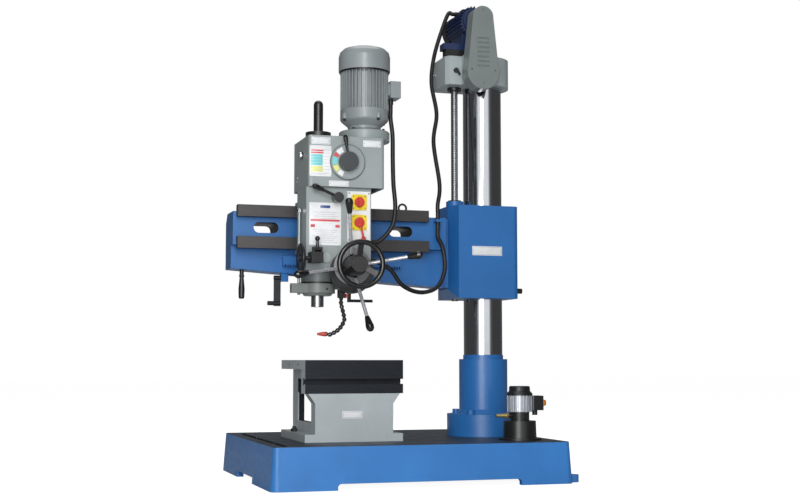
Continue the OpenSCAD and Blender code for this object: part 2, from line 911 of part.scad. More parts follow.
module lift_screw() {
  wheel_r2 = screw_x + drive_x - worm_r - 1;
  color(steel) {
    bar_z(-screw_x, 0, screw_bottom, worm_z + 34, screw_r);
    bar_z(-screw_x, 0, worm_z - 14, worm_z + 14, wheel_r2);
  }
}

// Arm

module sleeve_plan() {
  polygon([[-sleeve_far_left, -sleeve_far_y], [-sleeve_left, -sleeve_front],
    [sleeve_right - sleeve_round, -sleeve_front],
    [sleeve_right - sleeve_round, sleeve_front], [-sleeve_left, sleeve_front], [-sleeve_far_left,
      sleeve_far_y]]);
  round_rect(-sleeve_left + 1, sleeve_right, -sleeve_front, sleeve_front, sleeve_round);
}

module arm_beam() {
  difference() {
    intersection() {
      sheet_y(-rail_back - 1, arm_back + 1)
        polygon([[-arm_reach, arm_top], [-screw_x, arm_top], [-screw_x, arm_root_z], [arm_root_x, arm_root_z],
          [-arm_reach, arm_end_z]]);
      sheet_x(-arm_reach - 1, 0)
        polygon([[-rail_back, arm_top + 1], [arm_back - 34, arm_top + 1], [arm_back, arm_top - 40],
          [arm_back, 0],
          [-arm_low_front, 0], [-arm_low_front, arm_step_z], [-rail_back, arm_step_z]]);
    }
    box(-arm_neck_x, 0, -rail_back - 1, -sleeve_far_y, arm_root_z - 1, arm_top + 1);
  }
}

module arm_slot(x) {
  bar_y(x - slot_half, slot_z, -rail_front, arm_back + 1, slot_r);
  bar_y(x + slot_half, slot_z, -rail_front, arm_back + 1, slot_r);
  box(x - slot_half, x + slot_half, -rail_front, arm_back + 1, slot_z - slot_r, slot_z + slot_r);
}

module arm_casting() {
  color(blue)
    difference() {
      union() {
        arm_beam();
        translate([0, 0, sleeve_bottom])
          linear_extrude(height = sleeve_top - sleeve_bottom)
            sleeve_plan();
        bar_z(-screw_x, 0, sleeve_top - 1, nut_z, nut_boss_r);
        box(clip_x - 12, clip_x + 12, clip_y - 14, -rail_back + 1, clip_z - 5, clip_z + 5);
        box(crank_x + 14 + run, crank_x + crank_lug, crank_y - 16, crank_y + 16, crank_z - 16, arm_end_z);
      }
      bar_z(0, 0, sleeve_bottom - 1, sleeve_top + 1, column_r + run);
      bar_z(-screw_x, 0, sleeve_bottom - 1, max(nut_z, arm_top) + 1, screw_r + 2);
      bar_z(-screw_x, 0, nut_z - nut_spigot, nut_z + 1, nut_r - 6 + seat);
      box(-sleeve_split / 2, sleeve_split / 2, column_r - 5, sleeve_front + 1, sleeve_bottom - 1,
        sleeve_top + 1);
      bar_x(clamp_y, clamp_z, -70, sleeve_right + 1, clamp_r + run);
      sheet_y(-sleeve_front - 1, sleeve_front + 1)
        polygon([[-sleeve_left, sleeve_bottom - 1], [-sleeve_far_left - 1, sleeve_bottom + 42],
          [-sleeve_far_left - 1, sleeve_bottom - 1]]);
      arm_slot(slot_1);
      arm_slot(slot_2);
      box(pocket_x0, pocket_x1, pocket_y0, pocket_y1, sleeve_bottom - 20, pocket_top);
      bar_z(clip_x, clip_y, clip_z - 20, clip_z + 20, cable_r + 0.5);
      bar_z(handle_x, crank_y, arm_root_z, arm_end_z + 40, 9 + run);
      bar_x(crank_y, crank_z, crank_x + 14, crank_x + crank_lug + 1, crank_r + run);
      bar_z(eye_x, eye_y, arm_top - eye_stem, arm_top + 1, 7 + seat);
    }
}

module guide_rails() {
  color(dark)
    for (z = [rail_low, rail_high])
      box(rail_x0, rail_x1, -rail_front, -rail_back, z, z + rail_height);
}

module traverse_rack() {
  color(steel)
    translate([feed_x, 0, rack_pitch_z])
      sheet_y(-arm_low_front - 30, -arm_low_front)
        mirror([0, 1])
          rack_shape(rack_module, -18, 29, rack_top - rack_pitch_z);
}

module lift_nut() {
  color(brass)
    difference() {
      union() {
        bar_z(-screw_x, 0, nut_z, nut_z + nut_h, nut_r);
        bar_z(-screw_x, 0, nut_z - nut_spigot + 2, nut_z + 1, nut_r - 6);
      }
      bar_z(-screw_x, 0, nut_z - nut_spigot - 1, nut_z + nut_h + 1, screw_r + run);
    }
}

module eye_bolt() {
  ring_z = arm_top + 26 + eye_ring_r;
  color(steel) {
    bar_z(eye_x, eye_y, arm_top - eye_stem + 2, ring_z - eye_ring_r, 7);
    bar_z(eye_x, eye_y, arm_top, arm_top + 6, 15);
    translate([eye_x, eye_y, ring_z])
      rotate([90, 0, 0])
        rotate_extrude()
          translate([eye_ring_r, 0])
            circle(r = eye_wire_r, $fn = 24);
  }
}

module sleeve_clamp() {
  hub = sleeve_right + run;
  color(steel) {
    bar_x(clamp_y, clamp_z, -64, hub + 30, clamp_r);
    bar_x(clamp_y, clamp_z, hub, hub + 24, 16);
    bar_x(clamp_y, clamp_z, hub + 20, hub + 76, 7);
    bar_x(clamp_y, clamp_z, hub + 70, hub + 116, 12);
    bar_y(hub + 12, clamp_z, clamp_y, clamp_y + 96, 6);
    translate([hub + 12, clamp_y + 100, clamp_z])
      sphere(r = 13);
  }
}

module arm_lock_handle() {
  under = arm_end_z - 12;
  color(black) {
    bar_z(handle_x, crank_y, under - 20, under + 40, 9);
    translate([handle_x, crank_y, under - 112])
      rotate_extrude()
        polygon([[0, 0], [9, 0], [12, 6], [13, 40], [9, 84], [9, 90], [11, 92], [11, 98], [0, 98]]);
  }
}

module arm_crank() {
  color(black) {
    box(crank_x - 14, crank_x + 14, crank_y - 5, crank_y + 5, crank_z - 118, crank_z);
    bar_x(crank_y, crank_z, crank_x - 14, crank_x + crank_lug, crank_r);
    bar_x(crank_y, crank_z - 106, crank_x - 40, crank_x + 14, 9);
  }
}

// Drill head

module casing_shape() {
  box(casing_x0, casing_x1, casing_front, saddle_front, casing_low, head_split);
  box(saddle_x0, saddle_x1, saddle_front - 1, casing_back, casing_low, head_split);
  bar_z(spindle_x, spindle_y, barrel_low, casing_low + 1, barrel_r);
  bar_y(feed_x, feed_z, casing_front, feed_boss_back, feed_boss_r);
  box(valve_x - 22, valve_x + 22, casing_front, valve_y + 30, valve_z, feed_z);
  box(valve_x - 12, valve_x + 12, valve_y - 14, valve_y + 14, valve_z - valve_h, valve_z + 1);
  bar_x(entry_y, entry_z, casing_x1 - 1, casing_x1 + gland_h, gland_r);
  bar_x(lift_entry_y, lift_entry_z, saddle_x1 - 1, saddle_x1 + gland_h, gland_r);
}

module keepers() {
  hook = -rail_back + run;
  top = rail_top + run;
  low = rail_low - run;
  box(saddle_x0, saddle_x1, casing_back - 1, -keeper_back, top, top + keeper_h);
  box(saddle_x0, saddle_x1, hook, -keeper_back, top - keeper_hook, top + 1);
  box(saddle_x0, saddle_x1, casing_back - 1, -keeper_back, low - keeper_h, low);
  box(saddle_x0, saddle_x1, hook, -keeper_back, low - 1, low + keeper_hook);
}

module head_casting() {
  color(grey)
    difference() {
      union() {
        casing_shape();
        keepers();
      }
      bar_z(spindle_x, spindle_y, quill_low, barrel_low, clamp_ring_r + 2);
      bar_z(spindle_x, spindle_y, barrel_low - 1, quill_top + 12, quill_r + run);
      bar_z(spindle_x, spindle_y, quill_top, head_split + 1, spindle_r + run);
      box(spindle_x, quill_rack_x + feed_module + 1, spindle_y - rack_half - 1, spindle_y + rack_half + 1,
        barrel_low - 1, quill_top + 12);
      bar_y(feed_x, feed_z, feed_gear_y0 - 2, feed_gear_y1 + 2, feed_pitch_r + feed_module + 2);
      bar_y(feed_x, feed_z, casing_front - 1, feed_gear_y1, feed_shaft_r + run);
      bar_y(feed_x, feed_z, feed_gear_y0, casing_back + 1, traverse_r + run);
      bar_y(range_x, range_z, casing_front - 1, casing_front + 40, 9 + run);
      bar_x(valve_y, valve_axis, valve_x, valve_x + 13, 5 + run);
      bar_z(lock_x, lock_y, casing_low - 1, casing_low + 40, 8 + run);
    }
}

module gearbox_housing() {
  color(grey)
    difference() {
      translate([0, 0, head_split])
        linear_extrude(height = gearbox_height)
          round_rect(gearbox_x0, gearbox_x1, gearbox_front, gearbox_back, gearbox_round);
      translate([0, 0, head_split - 1])
        linear_extrude(height = gearbox_height - gearbox_wall + 1)
          square_between(gearbox_x0 + gearbox_wall, gearbox_x1 - gearbox_wall, gearbox_front + gearbox_wall,
            gearbox_back - gearbox_wall);
      bar_z(spindle_x, spindle_y, head_split, gearbox_top + 1, rod_r + run);
      bar_z(motor_x, motor_y, head_split, gearbox_top + 1, motor_shaft_r + run);
      bar_y(dial_x, dial_z, gearbox_front - 1, gearbox_front + gearbox_wall + 1, 9 + run);
    }
}

module square_between(x0, x1, y0, y1) {
  translate([x0, y0])
    square([x1 - x0, y1 - y0]);
}

module motor_adapter() {
  color(grey)
    difference() {
      translate([motor_x, motor_y, gearbox_top])
        rotate_extrude()
          polygon([[0, 0], [motor_r - 4, 0], [motor_r - 2, 3], [motor_r - 2, 37], [motor_r - 6, 41],
            [bell_foot_r - 4, 43],
            [bell_foot_r - 4, adapter_h], [0, adapter_h]]);
      bar_z(motor_x, motor_y, gearbox_top - 1, motor_z0 + 1, motor_shaft_r + run);
    }
}

module main_motor_body() {
  color(grey)
    difference() {
      union() {
        translate([motor_x, motor_y, motor_z0])
          rotate_extrude()
            polygon([[0, 0], [bell_foot_r, 0], [bell_foot_r + 2, 12], [motor_fin_r - 4, 34],
              [motor_fin_r, 40],
              [motor_fin_r, bell_h], [0, bell_h]]);
        translate([motor_x, motor_y, motor_z0 + bell_h - 1])
          linear_extrude(height = motor_height - cowl_h - bell_h + 1)
            union() {
              circle(r = motor_core_r);
              for (i = [0 : motor_fins - 1])
                rotate(360 * (i + 0.5) / motor_fins)
                  translate([0, -2])
                    square([motor_fin_r, 4]);
            }
        box(motor_x, terminal_x, motor_y - 30, motor_y + 30, terminal_z + 10, terminal_z + terminal_h - 10);
      }
      bar_z(motor_x, motor_y, motor_z0 - 1, motor_z0 + bell_h + 10, motor_shaft_r + run);
    }
}

module main_motor_cowl() {
  z0 = motor_z1 - cowl_h;
  color(grey)
    translate([motor_x, motor_y, z0])
      rotate_extrude()
        polygon([[0, 0], [motor_r, 0], [motor_r, cowl_h - 40], [motor_r - 5, cowl_h - 22],
          [motor_r - 20, cowl_h - 8],
          [motor_r - 40, cowl_h - 2], [0, cowl_h]]);
}

module main_terminal_box() {
  color(grey) {
    box(terminal_x, terminal_x + terminal_w, motor_y - terminal_d / 2, motor_y + terminal_d / 2,
      terminal_z, terminal_z + terminal_h);
    bar_z(terminal_gland_x, motor_y, terminal_z - gland_h, terminal_z + 1, gland_r);
  }
}

module spindle_guard() {
  color(black)
    difference() {
      union() {
        bar_z(spindle_x, spindle_y, gearbox_top, gearbox_top + collar_h, collar_r);
        bar_z(spindle_x, spindle_y, gearbox_top, guard_top - guard_r, guard_r);
        translate([spindle_x, spindle_y, guard_top - guard_r])
          sphere(r = guard_r);
      }
      bar_z(spindle_x, spindle_y, gearbox_top - 1, guard_top - guard_r, rod_r + run);
    }
}

module speed_dial() {
  color(grey)
    difference() {
      bar_y(dial_x, dial_z, gearbox_front - dial_h, gearbox_front, dial_r);
      bar_y(dial_x, dial_z, gearbox_front - dial_h - 1, gearbox_front + 1, 9 + run);
    }
}

// a tapered hand grip along +Z from its stem, length l
module grip(l, r1, r2) {
  rotate_extrude()
    polygon([[0, 0], [r1, 0], [r2, l - r2], [r2 * 0.7, l - r2 * 0.3], [r2 * 0.25, l], [0, l]]);
}

module speed_lever() {
  front = gearbox_front - dial_h;
  knob = front - run;
  color(black) {
    bar_y(dial_x, dial_z, knob - 30, knob, 37);
    bar_y(dial_x, dial_z, knob - 1, gearbox_front + gearbox_wall + 14, 9);
    translate([dial_x, knob - 20, dial_z])
      rotate([0, -9, 0]) {
        cylinder(r = 5, h = speed_reach + 4);
        translate([0, 0, speed_reach])
          grip(40, 6, 10);
      }
  }
}

module range_lever() {
  hub = casing_front - run;
  color(black) {
    bar_y(range_x, range_z, hub - 42, hub, 20);
    bar_y(range_x, range_z, hub - 1, casing_front + 36, 9);
    translate([range_x, hub - 34, range_z])
      rotate([0, -67, 0]) {
        cylinder(r = 6, h = range_reach + 18);
        translate([0, 0, range_reach])
          grip(48, 7, 12);
      }
  }
}

module switch_panel() {
  front = casing_front - panel_h;
  color(white)
    difference() {
      union() {
        box(panel_x0, panel_x1, front, casing_front, panel_z0, panel_z1);
        for (z = switch_z)
          box(switch_x - switch_plate / 2, switch_x + switch_plate / 2, front - switch_plate_h, front + 1,
            z - switch_plate / 2, z + switch_plate / 2);
      }
      for (z = switch_z)
        bar_y(switch_x, z, front - switch_plate_h - 1, casing_front - 2, 8 + run);
    }
}

module switch_knob(z) {
  front = casing_front - panel_h - switch_plate_h - run;
  bar_y(switch_x, z, front - 8, front, 20);
  bar_y(switch_x, z, front - 1, front + 12, 8);
  box(switch_x - 6, switch_x + 6, front - 22, front - 7, z - 19, z + 19);
}

module power_switch() {
  color(red)
    switch_knob(switch_z[0]);
}

module reverse_switch() {
  front = casing_front - panel_h - switch_plate_h - run;
  color(red) {
    switch_knob(switch_z[1]);
    translate([switch_x, front - 16, switch_z[1]])
      rotate([0, 168, 0]) {
        cylinder(r = 4, h = 62);
        translate([0, 0, 66])
          sphere(r = 9);
      }
  }
}

module feed_housing() {
  color(black)
    difference() {
      bar_y(feed_x, feed_z - housing_drop, housing_front, casing_front, housing_r);
      bar_y(feed_x, feed_z, housing_front - 1, casing_front + 1, feed_shaft_r + run);
    }
}

module feed_star() {
  color(steel)
    difference() {
      union() {
        bar_y(feed_x, feed_z, star_front, housing_front - run, star_r);
        for (a = [0 : 90 : 270])
          translate([feed_x, lever_y, feed_z])
            rotate([0, -lever_angle - a, 0])
              rotate(-lever_tilt)
                translate([star_r - 6, 0, 0])
                  rotate([0, 90, 0])
                    cylinder(r = lever_r, h = knob_start - star_r + 12);
      }
      bar_y(feed_x, feed_z, star_front - 1, star_front + 40, traverse_r + run);
      bar_y(feed_x, feed_z, star_front + 39, housing_front + 1, feed_shaft_r + seat);
    }
}

module feed_knobs() {
  color(black)
    for (a = [0 : 90 : 270])
      translate([feed_x, lever_y, feed_z])
        rotate([0, -lever_angle - a, 0])
          rotate(-lever_tilt)
            translate([knob_start, 0, 0])
              rotate([0, 90, 0])
                difference() {
                  rotate_extrude()
                    polygon([[0, 0], [9, 0], [11, 10], [16, 40], [15, 52], [9, 60], [0, 62]]);
                  translate([0, 0, -1])
                    cylinder(r = lever_r + seat, h = 8);
                }
}

module feed_pinion() {
  color(steel)
    difference() {
      union() {
        bar_y(feed_x, feed_z, star_front + 40, feed_gear_y1, feed_shaft_r);
        translate([feed_x, 0, feed_z])
          sheet_y(feed_gear_y0, feed_gear_y1)
            gear_shape(feed_teeth, feed_module, 180);
      }
      bar_y(feed_x, feed_z, star_front, feed_gear_y1 + 1, traverse_r + run);
    }
}

module traverse_wheel() {
  color(black)
    difference() {
      union() {
        bar_y(feed_x, feed_z, wheel_front, star_front - run, wheel_hub_r);
        translate([feed_x, wheel_y, feed_z])
          rotate([90, 0, 0])
            rotate_extrude()
              translate([wheel_r, 0])
                circle(r = wheel_wire, $fn = 24);
        for (a = [90, 210, 330])
          translate([feed_x, star_front, feed_z])
            rotate([0, -a, 0])
              translate([0, 0, -spoke_half])
                linear_extrude(height = 2 * spoke_half)
                  polygon([[wheel_hub_r - 8, -spoke_h], [wheel_hub_r - 8, -2 * spoke_h], [wheel_r,
                    -wheel_dish - spoke_h / 2],
                    [wheel_r, -wheel_dish + spoke_h / 2]]);
      }
      bar_y(feed_x, feed_z, wheel_front + 6, star_front + 1, traverse_r + seat);
    }
}

module traverse_shaft() {
  color(steel) {
    bar_y(feed_x, feed_z, wheel_front + 6, traverse_y1, traverse_r);
    translate([feed_x, 0, feed_z])
      sheet_y(traverse_y0, traverse_y1)
        gear_shape(traverse_teeth, rack_module, 90);
  }
}

module clutch_block() {
  color(black)
    difference() {
      union() {
        box(block_x0, block_x1, block_front, casing_front, block_z - 17, block_top);
        bar_y(block_x1 + 26, block_z + 8, casing_front - 10, casing_front, 22);
        for (x = [ear_x - ear_gap - ear_w, ear_x + ear_gap])
          box(x, x + ear_w, fine_y - 10, fine_y + 10, block_top - 1, block_top + 20);
      }
      bar_x(fine_y, block_z, block_x0 - 1, block_x1 - 8, 8 + run);
    }
}

module clutch_lever() {
  z = block_top + 11;
  color(black) {
    bar_x(fine_y, z, ear_x - ear_gap + run, ear_x + ear_gap - run, 10);
    translate([ear_x, fine_y, z]) {
      cylinder(r1 = 7, r2 = 4.5, h = 40);
      translate([0, 0, 42])
        sphere(r = 10);
    }
  }
}

module fine_feed_wheel() {
  color(black) {
    translate([fine_x, fine_y, block_z])
      rotate([0, 90, 0])
        rotate_extrude()
          translate([fine_wheel_r, 0])
            circle(r = 7, $fn = 24);
    bar_x(fine_y, block_z, fine_x - 10, fine_x + 12, 15);
    bar_x(fine_y, block_z, fine_x - 3, fine_x + 3, fine_wheel_r);
    bar_x(fine_y, block_z, fine_x, block_x1 - 10, 8);
  }
}

// Quill and spindle

module quill() {
  color(steel)
    difference() {
      union() {
        bar_z(spindle_x, spindle_y, quill_low, quill_top, quill_r);
        intersection() {
          translate([quill_rack_x, 0, feed_z])
            sheet_y(spindle_y - rack_half, spindle_y + rack_half)
              rotate(-90)
                rack_shape(feed_module, -2, 17, 16);
          box(spindle_x, feed_x, spindle_y - rack_half, spindle_y + rack_half,
            quill_low + clamp_ring_h, quill_top);
        }
      }
      bar_z(spindle_x, spindle_y, quill_low - 1, quill_top + 1, spindle_r + run);
    }
}

module depth_stop() {
  z1 = quill_low + clamp_ring_h;
  color(grey)
    difference() {
      union() {
        bar_z(spindle_x, spindle_y, quill_low + 10, z1 - run, clamp_ring_r);
        translate([spindle_x, spindle_y, quill_low])
          cylinder(r1 = clamp_ring_r - 16, r2 = clamp_ring_r - 8, h = 11);
        box(depth_x - 32, spindle_x - 40, depth_y - 18, depth_y + 18, quill_low + 10, z1 - run);
        bar_z(depth_x, depth_y, quill_low + 2, depth_top, depth_r);
      }
      bar_z(spindle_x, spindle_y, quill_low - 1, z1 + 1, quill_r + seat);
    }
}

module spindle() {
  color(steel)
    difference() {
      union() {
        bar_z(spindle_x, spindle_y, spindle_low, quill_top + 10, spindle_r);
        bar_z(spindle_x, spindle_y, quill_top, spindle_top, rod_r);
      }
      translate([spindle_x, spindle_y, spindle_low - 0.01])
        cylinder(r1 = 15.6, r2 = 12.9, h = 104);
    }
}

module spindle_gear() {
  color(steel)
    difference() {
      union() {
        translate([spindle_x, spindle_y, gear_z0])
          linear_extrude(height = gear_h)
            gear_shape(spindle_teeth, gear_module, 0);
        bar_z(spindle_x, spindle_y, head_split + run, gearbox_top - gearbox_wall - run, 24);
      }
      bar_z(spindle_x, spindle_y, head_split, gearbox_top, rod_r + run);
    }
}

module idler_gear() {
  color(steel) {
    translate([idler_x, motor_y, gear_z0])
      linear_extrude(height = gear_h)
        gear_shape(idler_teeth, gear_module, 180 / idler_teeth);
    bar_z(idler_x, motor_y, head_split + run, gearbox_top - gearbox_wall - run, 12);
  }
}

module motor_pinion() {
  color(steel) {
    translate([motor_x, motor_y, gear_z0])
      linear_extrude(height = gear_h)
        gear_shape(pinion_teeth, gear_module, 0);
    bar_z(motor_x, motor_y, gear_z0, motor_z0 + bell_h, motor_shaft_r);
  }
}

// Small fittings and cords

module head_lock_lever() {
  color(steel) {
    bar_z(lock_x, lock_y, lock_z, casing_low + 36, 8);
    bar_x(lock_y, lock_z + 6, lock_x, lock_x + 100, 6);
  }
}

module coolant_hose() {
  color(black)
    link_hose(hose_route, hose_link, hose_r, hose_r - 2.5, hose_bore);
}

module coolant_nozzle() {
  color(red)
    difference() {
      translate(hose_end)
        rotate([0, -90, 0])
          rotate_extrude()
            polygon([[0, 0], [9, 0], [9, 10], [4.5, 36], [0, 36]]);
      translate(hose_end)
        rotate([0, -90, 0])
          translate([0, 0, -1])
            cylinder(r = 3, h = 40);
    }
}

module valve_handle() {
  x = valve_x + 12 + run;
  z = valve_axis;
  color(red) {
    bar_x(valve_y, z, valve_x + 1, x + 9, 5);
    bar_x(valve_y, z, x, x + 9, 9);
    box(x + 1, x + 8, valve_y - 30, valve_y, z - 5, z + 5);
  }
}

module main_motor_cable() {
  color(black)
    solid_cord(motor_route, 2, cable_r);
}

module lift_cable_upper() {
  color(black)
    solid_cord(upper_route, 2, cable_r);
}

module lift_cable_lower() {
  color(black)
    solid_cord(lower_route, 2, cable_r);
}

base_casting();
column_pedestal();
stand_bolts();
column_tube();
work_table();
pump_foot();
pump_motor_body();
pump_motor_cap();
pump_switch();
cap_housing();
lift_motor_body();
lift_motor_cowl();
belt_cover();
motor_pulley();
worm_pulley();
lift_belt();
lift_screw();
arm_casting();
guide_rails();
traverse_rack();
lift_nut();
eye_bolt();
sleeve_clamp();
arm_lock_handle();
arm_crank();
head_casting();
gearbox_housing();
motor_adapter();
main_motor_body();
main_motor_cowl();
main_terminal_box();
spindle_guard();
speed_dial();
speed_lever();
range_lever();
switch_panel();
power_switch();
reverse_switch();
feed_housing();
feed_star();
feed_knobs();
feed_pinion();
traverse_wheel();
traverse_shaft();
clutch_block();
clutch_lever();
fine_feed_wheel();
quill();
depth_stop();
spindle();
spindle_gear();
idler_gear();
motor_pinion();
head_lock_lever();
coolant_hose();
coolant_nozzle();
valve_handle();
main_motor_cable();
lift_cable_upper();
lift_cable_lower();
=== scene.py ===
import json
import math

import bmesh
import bpy
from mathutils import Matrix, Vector

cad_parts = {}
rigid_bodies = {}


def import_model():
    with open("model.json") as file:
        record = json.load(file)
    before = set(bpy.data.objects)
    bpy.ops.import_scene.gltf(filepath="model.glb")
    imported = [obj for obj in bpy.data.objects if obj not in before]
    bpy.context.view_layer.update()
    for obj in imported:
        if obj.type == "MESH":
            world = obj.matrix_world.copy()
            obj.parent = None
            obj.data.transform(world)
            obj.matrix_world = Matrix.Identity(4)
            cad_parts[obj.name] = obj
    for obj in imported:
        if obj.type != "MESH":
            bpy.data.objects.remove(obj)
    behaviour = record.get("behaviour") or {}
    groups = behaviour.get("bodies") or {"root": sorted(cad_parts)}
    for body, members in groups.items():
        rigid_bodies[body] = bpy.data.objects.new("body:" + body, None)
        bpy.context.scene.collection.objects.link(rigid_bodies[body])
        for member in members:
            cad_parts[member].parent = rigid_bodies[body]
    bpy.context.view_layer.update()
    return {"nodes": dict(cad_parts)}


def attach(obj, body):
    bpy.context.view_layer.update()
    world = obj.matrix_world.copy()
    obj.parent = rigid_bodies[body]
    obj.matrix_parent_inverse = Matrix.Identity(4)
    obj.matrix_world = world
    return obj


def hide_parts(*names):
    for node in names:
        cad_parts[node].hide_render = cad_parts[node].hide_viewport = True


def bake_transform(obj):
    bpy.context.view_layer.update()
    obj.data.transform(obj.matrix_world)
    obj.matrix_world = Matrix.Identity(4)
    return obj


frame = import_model()
NODES = frame["nodes"]
MM = 0.001

# Places on the machine, in millimetres: upright axes as (x, y), round faces as (x, z),
# and how far forward the flat faces of the head lie
SPINDLE_AXIS = (-839, -355)
DEPTH_ROD_AXIS = (-922, -385)
MOTOR_AXIS = (-647, -355)
SCREW_AXIS = (-131, 0)
PUMP_AXIS = (29, -345)
DIAL_CENTRE = (-752, 1273)
STAR_CENTRE = (-730, 862)
CLUTCH_BOSS_CENTRE = (-831, 897)
GEAR_Y, CASE_Y, PANEL_Y = -480, -460, -472
DIAL_Y, FEED_Y, CLUTCH_BOSS_Y = -490, -480, -470
GEAR_LEFT_X = -907
COVER_Y = -192


# Camera, solved from the photo

YAW, PITCH = math.radians(17.3), math.radians(4.8)
EYE = (-2.075, -5.429, 0.496)
FOCAL_PX, PHOTO_WIDTH_PX, SENSOR_MM = 1310, 800, 36.0


def make_camera():
    look = Vector((math.cos(PITCH) * math.sin(YAW), math.cos(PITCH) * math.cos(YAW),
                   math.sin(PITCH)))
    data = bpy.data.cameras.new("photo_camera")
    data.sensor_width = SENSOR_MM
    data.lens = FOCAL_PX / PHOTO_WIDTH_PX * SENSOR_MM
    data.clip_end = 100
    camera = bpy.data.objects.new("photo_camera", data)
    camera.location = EYE
    camera.rotation_euler = look.to_track_quat("-Z", "Y").to_euler()
    bpy.context.scene.collection.objects.link(camera)
    bpy.context.scene.camera = camera


make_camera()


# Materials

def srgb(r, g, b):
    def one(c):
        c = c / 255
        return c / 12.92 if c <= 0.04045 else ((c + 0.055) / 1.055) ** 2.4
    return (one(r), one(g), one(b), 1.0)


def toned(colour, gain):
    return tuple(min(1.0, c * gain) for c in colour[:3]) + (1.0,)


CHIP, DARK_CHIP = srgb(150, 152, 155), srgb(120, 122, 125)
PAINT_ROUGH, PAINT_WEAR, PAINT_BEVEL = 0.36, 0.55, 0.0022
PEEL_SCALE, PEEL_DEPTH = 620, 0.0005
FINE_DEPTH = 0.0003


class Shade:
    """A node material, with short names for the nodes it is made of."""

    def __init__(self, name):
        self.mat = bpy.data.materials.new(name)
        self.mat.use_nodes = True
        self.tree = self.mat.node_tree
        self.tree.nodes.clear()
        self.out = self.add("ShaderNodeOutputMaterial")
        self.bsdf = self.add("ShaderNodeBsdfPrincipled")
        self.tree.links.new(self.bsdf.outputs[0], self.out.inputs[0])
        self.pos = self.add("ShaderNodeTexCoord").outputs["Object"]

    def add(self, kind, inputs=None, **props):
        n = self.tree.nodes.new(kind)
        for key, value in props.items():
            setattr(n, key, value)
        for key, value in (inputs or {}).items():
            self.put(n.inputs[key], value)
        return n

    def put(self, socket, value):
        if isinstance(value, bpy.types.NodeSocket):
            self.tree.links.new(value, socket)
        else:
            socket.default_value = value

    def noise(self, scale, detail=4.0, stretch=None):
        vec = self.pos
        if stretch:
            vec = self.add("ShaderNodeVectorMath", {0: vec, 1: stretch},
                           operation="MULTIPLY").outputs[0]
        return self.add("ShaderNodeTexNoise", {"Vector": vec, "Scale": scale, "Detail": detail,
                                               "Roughness": 0.55}).outputs["Fac"]

    def peel(self):
        """The fine ripple of sprayed paint."""
        return self.noise(PEEL_SCALE, 3)

    def remap(self, value, a, b, c=0.0, d=1.0):
        return self.add("ShaderNodeMapRange", {"Value": value, "From Min": a, "From Max": b,
                                               "To Min": c, "To Max": d},
                        clamp=True).outputs["Result"]

    def math(self, op, a, b=0.0):
        return self.add("ShaderNodeMath", {0: a, 1: b}, operation=op).outputs[0]

    def mix(self, fac, a, b):
        return self.add("ShaderNodeMix", {0: fac, 6: a, 7: b}, data_type="RGBA").outputs[2]

    def blend(self, fac, a, b):
        return self.add("ShaderNodeMix", {0: fac, 2: a, 3: b}, data_type="FLOAT").outputs[0]

    def axis(self, name):
        return self.add("ShaderNodeSeparateXYZ", {0: self.pos}).outputs[name]

    def soft_normal(self, radius):
        return self.add("ShaderNodeBevel", {"Radius": radius}, samples=4).outputs[0]

    def edge(self, radius):
        """Nought on a flat, rising where the surface turns a corner."""
        flat = self.add("ShaderNodeNewGeometry").outputs["Normal"]
        dot = self.add("ShaderNodeVectorMath", {0: self.soft_normal(radius), 1: flat},
                       operation="DOT_PRODUCT")
        return self.math("SUBTRACT", 1.0, dot.outputs["Value"])

    def finish(self, colour, rough, metal, height, strength, depth, bevel=0.0):
        self.put(self.bsdf.inputs["Base Color"], colour)
        self.put(self.bsdf.inputs["Roughness"], rough)
        self.put(self.bsdf.inputs["Metallic"], metal)
        bump = self.add("ShaderNodeBump", {"Height": height, "Strength": strength,
                                           "Distance": depth})
        if bevel:
            self.put(bump.inputs["Normal"], self.soft_normal(bevel))
        self.put(self.bsdf.inputs["Normal"], bump.outputs[0])
        return self.mat


def paint_layer(s, colour, rough, wear, chip=CHIP):
    """Sprayed enamel: broad tone shifts, grime, and bare metal along the edges."""
    broad = s.remap(s.noise(5), 0.3, 0.7)
    grime = s.noise(40, 6)
    tone = s.mix(broad, toned(colour, 0.90), toned(colour, 1.08))
    tone = s.mix(s.remap(grime, 0.56, 0.78, 0.0, 0.22), tone, toned(colour, 0.55))
    flakes = s.remap(s.noise(130, 5), 0.48, 0.60)
    chips = s.math("MULTIPLY", s.remap(s.edge(0.0025), 0.03, 0.22, 0.0, wear), flakes)
    tone = s.mix(chips, tone, chip)
    gloss = s.remap(grime, 0.3, 0.7, rough - 0.05, rough + 0.09)
    return tone, gloss, s.math("MULTIPLY", chips, 0.8)


def painted(name, rgb, rough=PAINT_ROUGH, wear=PAINT_WEAR):
    s = Shade(name)
    tone, gloss, metallic = paint_layer(s, srgb(*rgb), rough, wear)
    s.bsdf.inputs["Coat Weight"].default_value = 0.25
    s.bsdf.inputs["Coat Roughness"].default_value = 0.2
    return s.finish(tone, gloss, metallic, s.peel(), 0.10, PEEL_DEPTH, PAINT_BEVEL)


def metal_layer(s, colour, rough, lines, spread=0.16, soil=0.35):
    """Ground or turned metal: tool lines along one way, smudges and small pits."""
    grain = s.noise(1.0, 6, lines)
    smudge = s.noise(14, 5)
    tone = s.mix(s.remap(grain, 0.25, 0.75), toned(colour, 1 - spread), toned(colour, 1 + spread))
    tone = s.mix(s.remap(smudge, 0.5, 0.75, 0.0, soil), tone, toned(colour, 0.6))
    gloss = s.math("ADD", s.remap(smudge, 0.3, 0.75, rough - 0.02, rough + 0.3 * soil),
                   s.remap(grain, 0.2, 0.8, -0.1 * spread, 0.2 * spread))
    return tone, gloss, grain


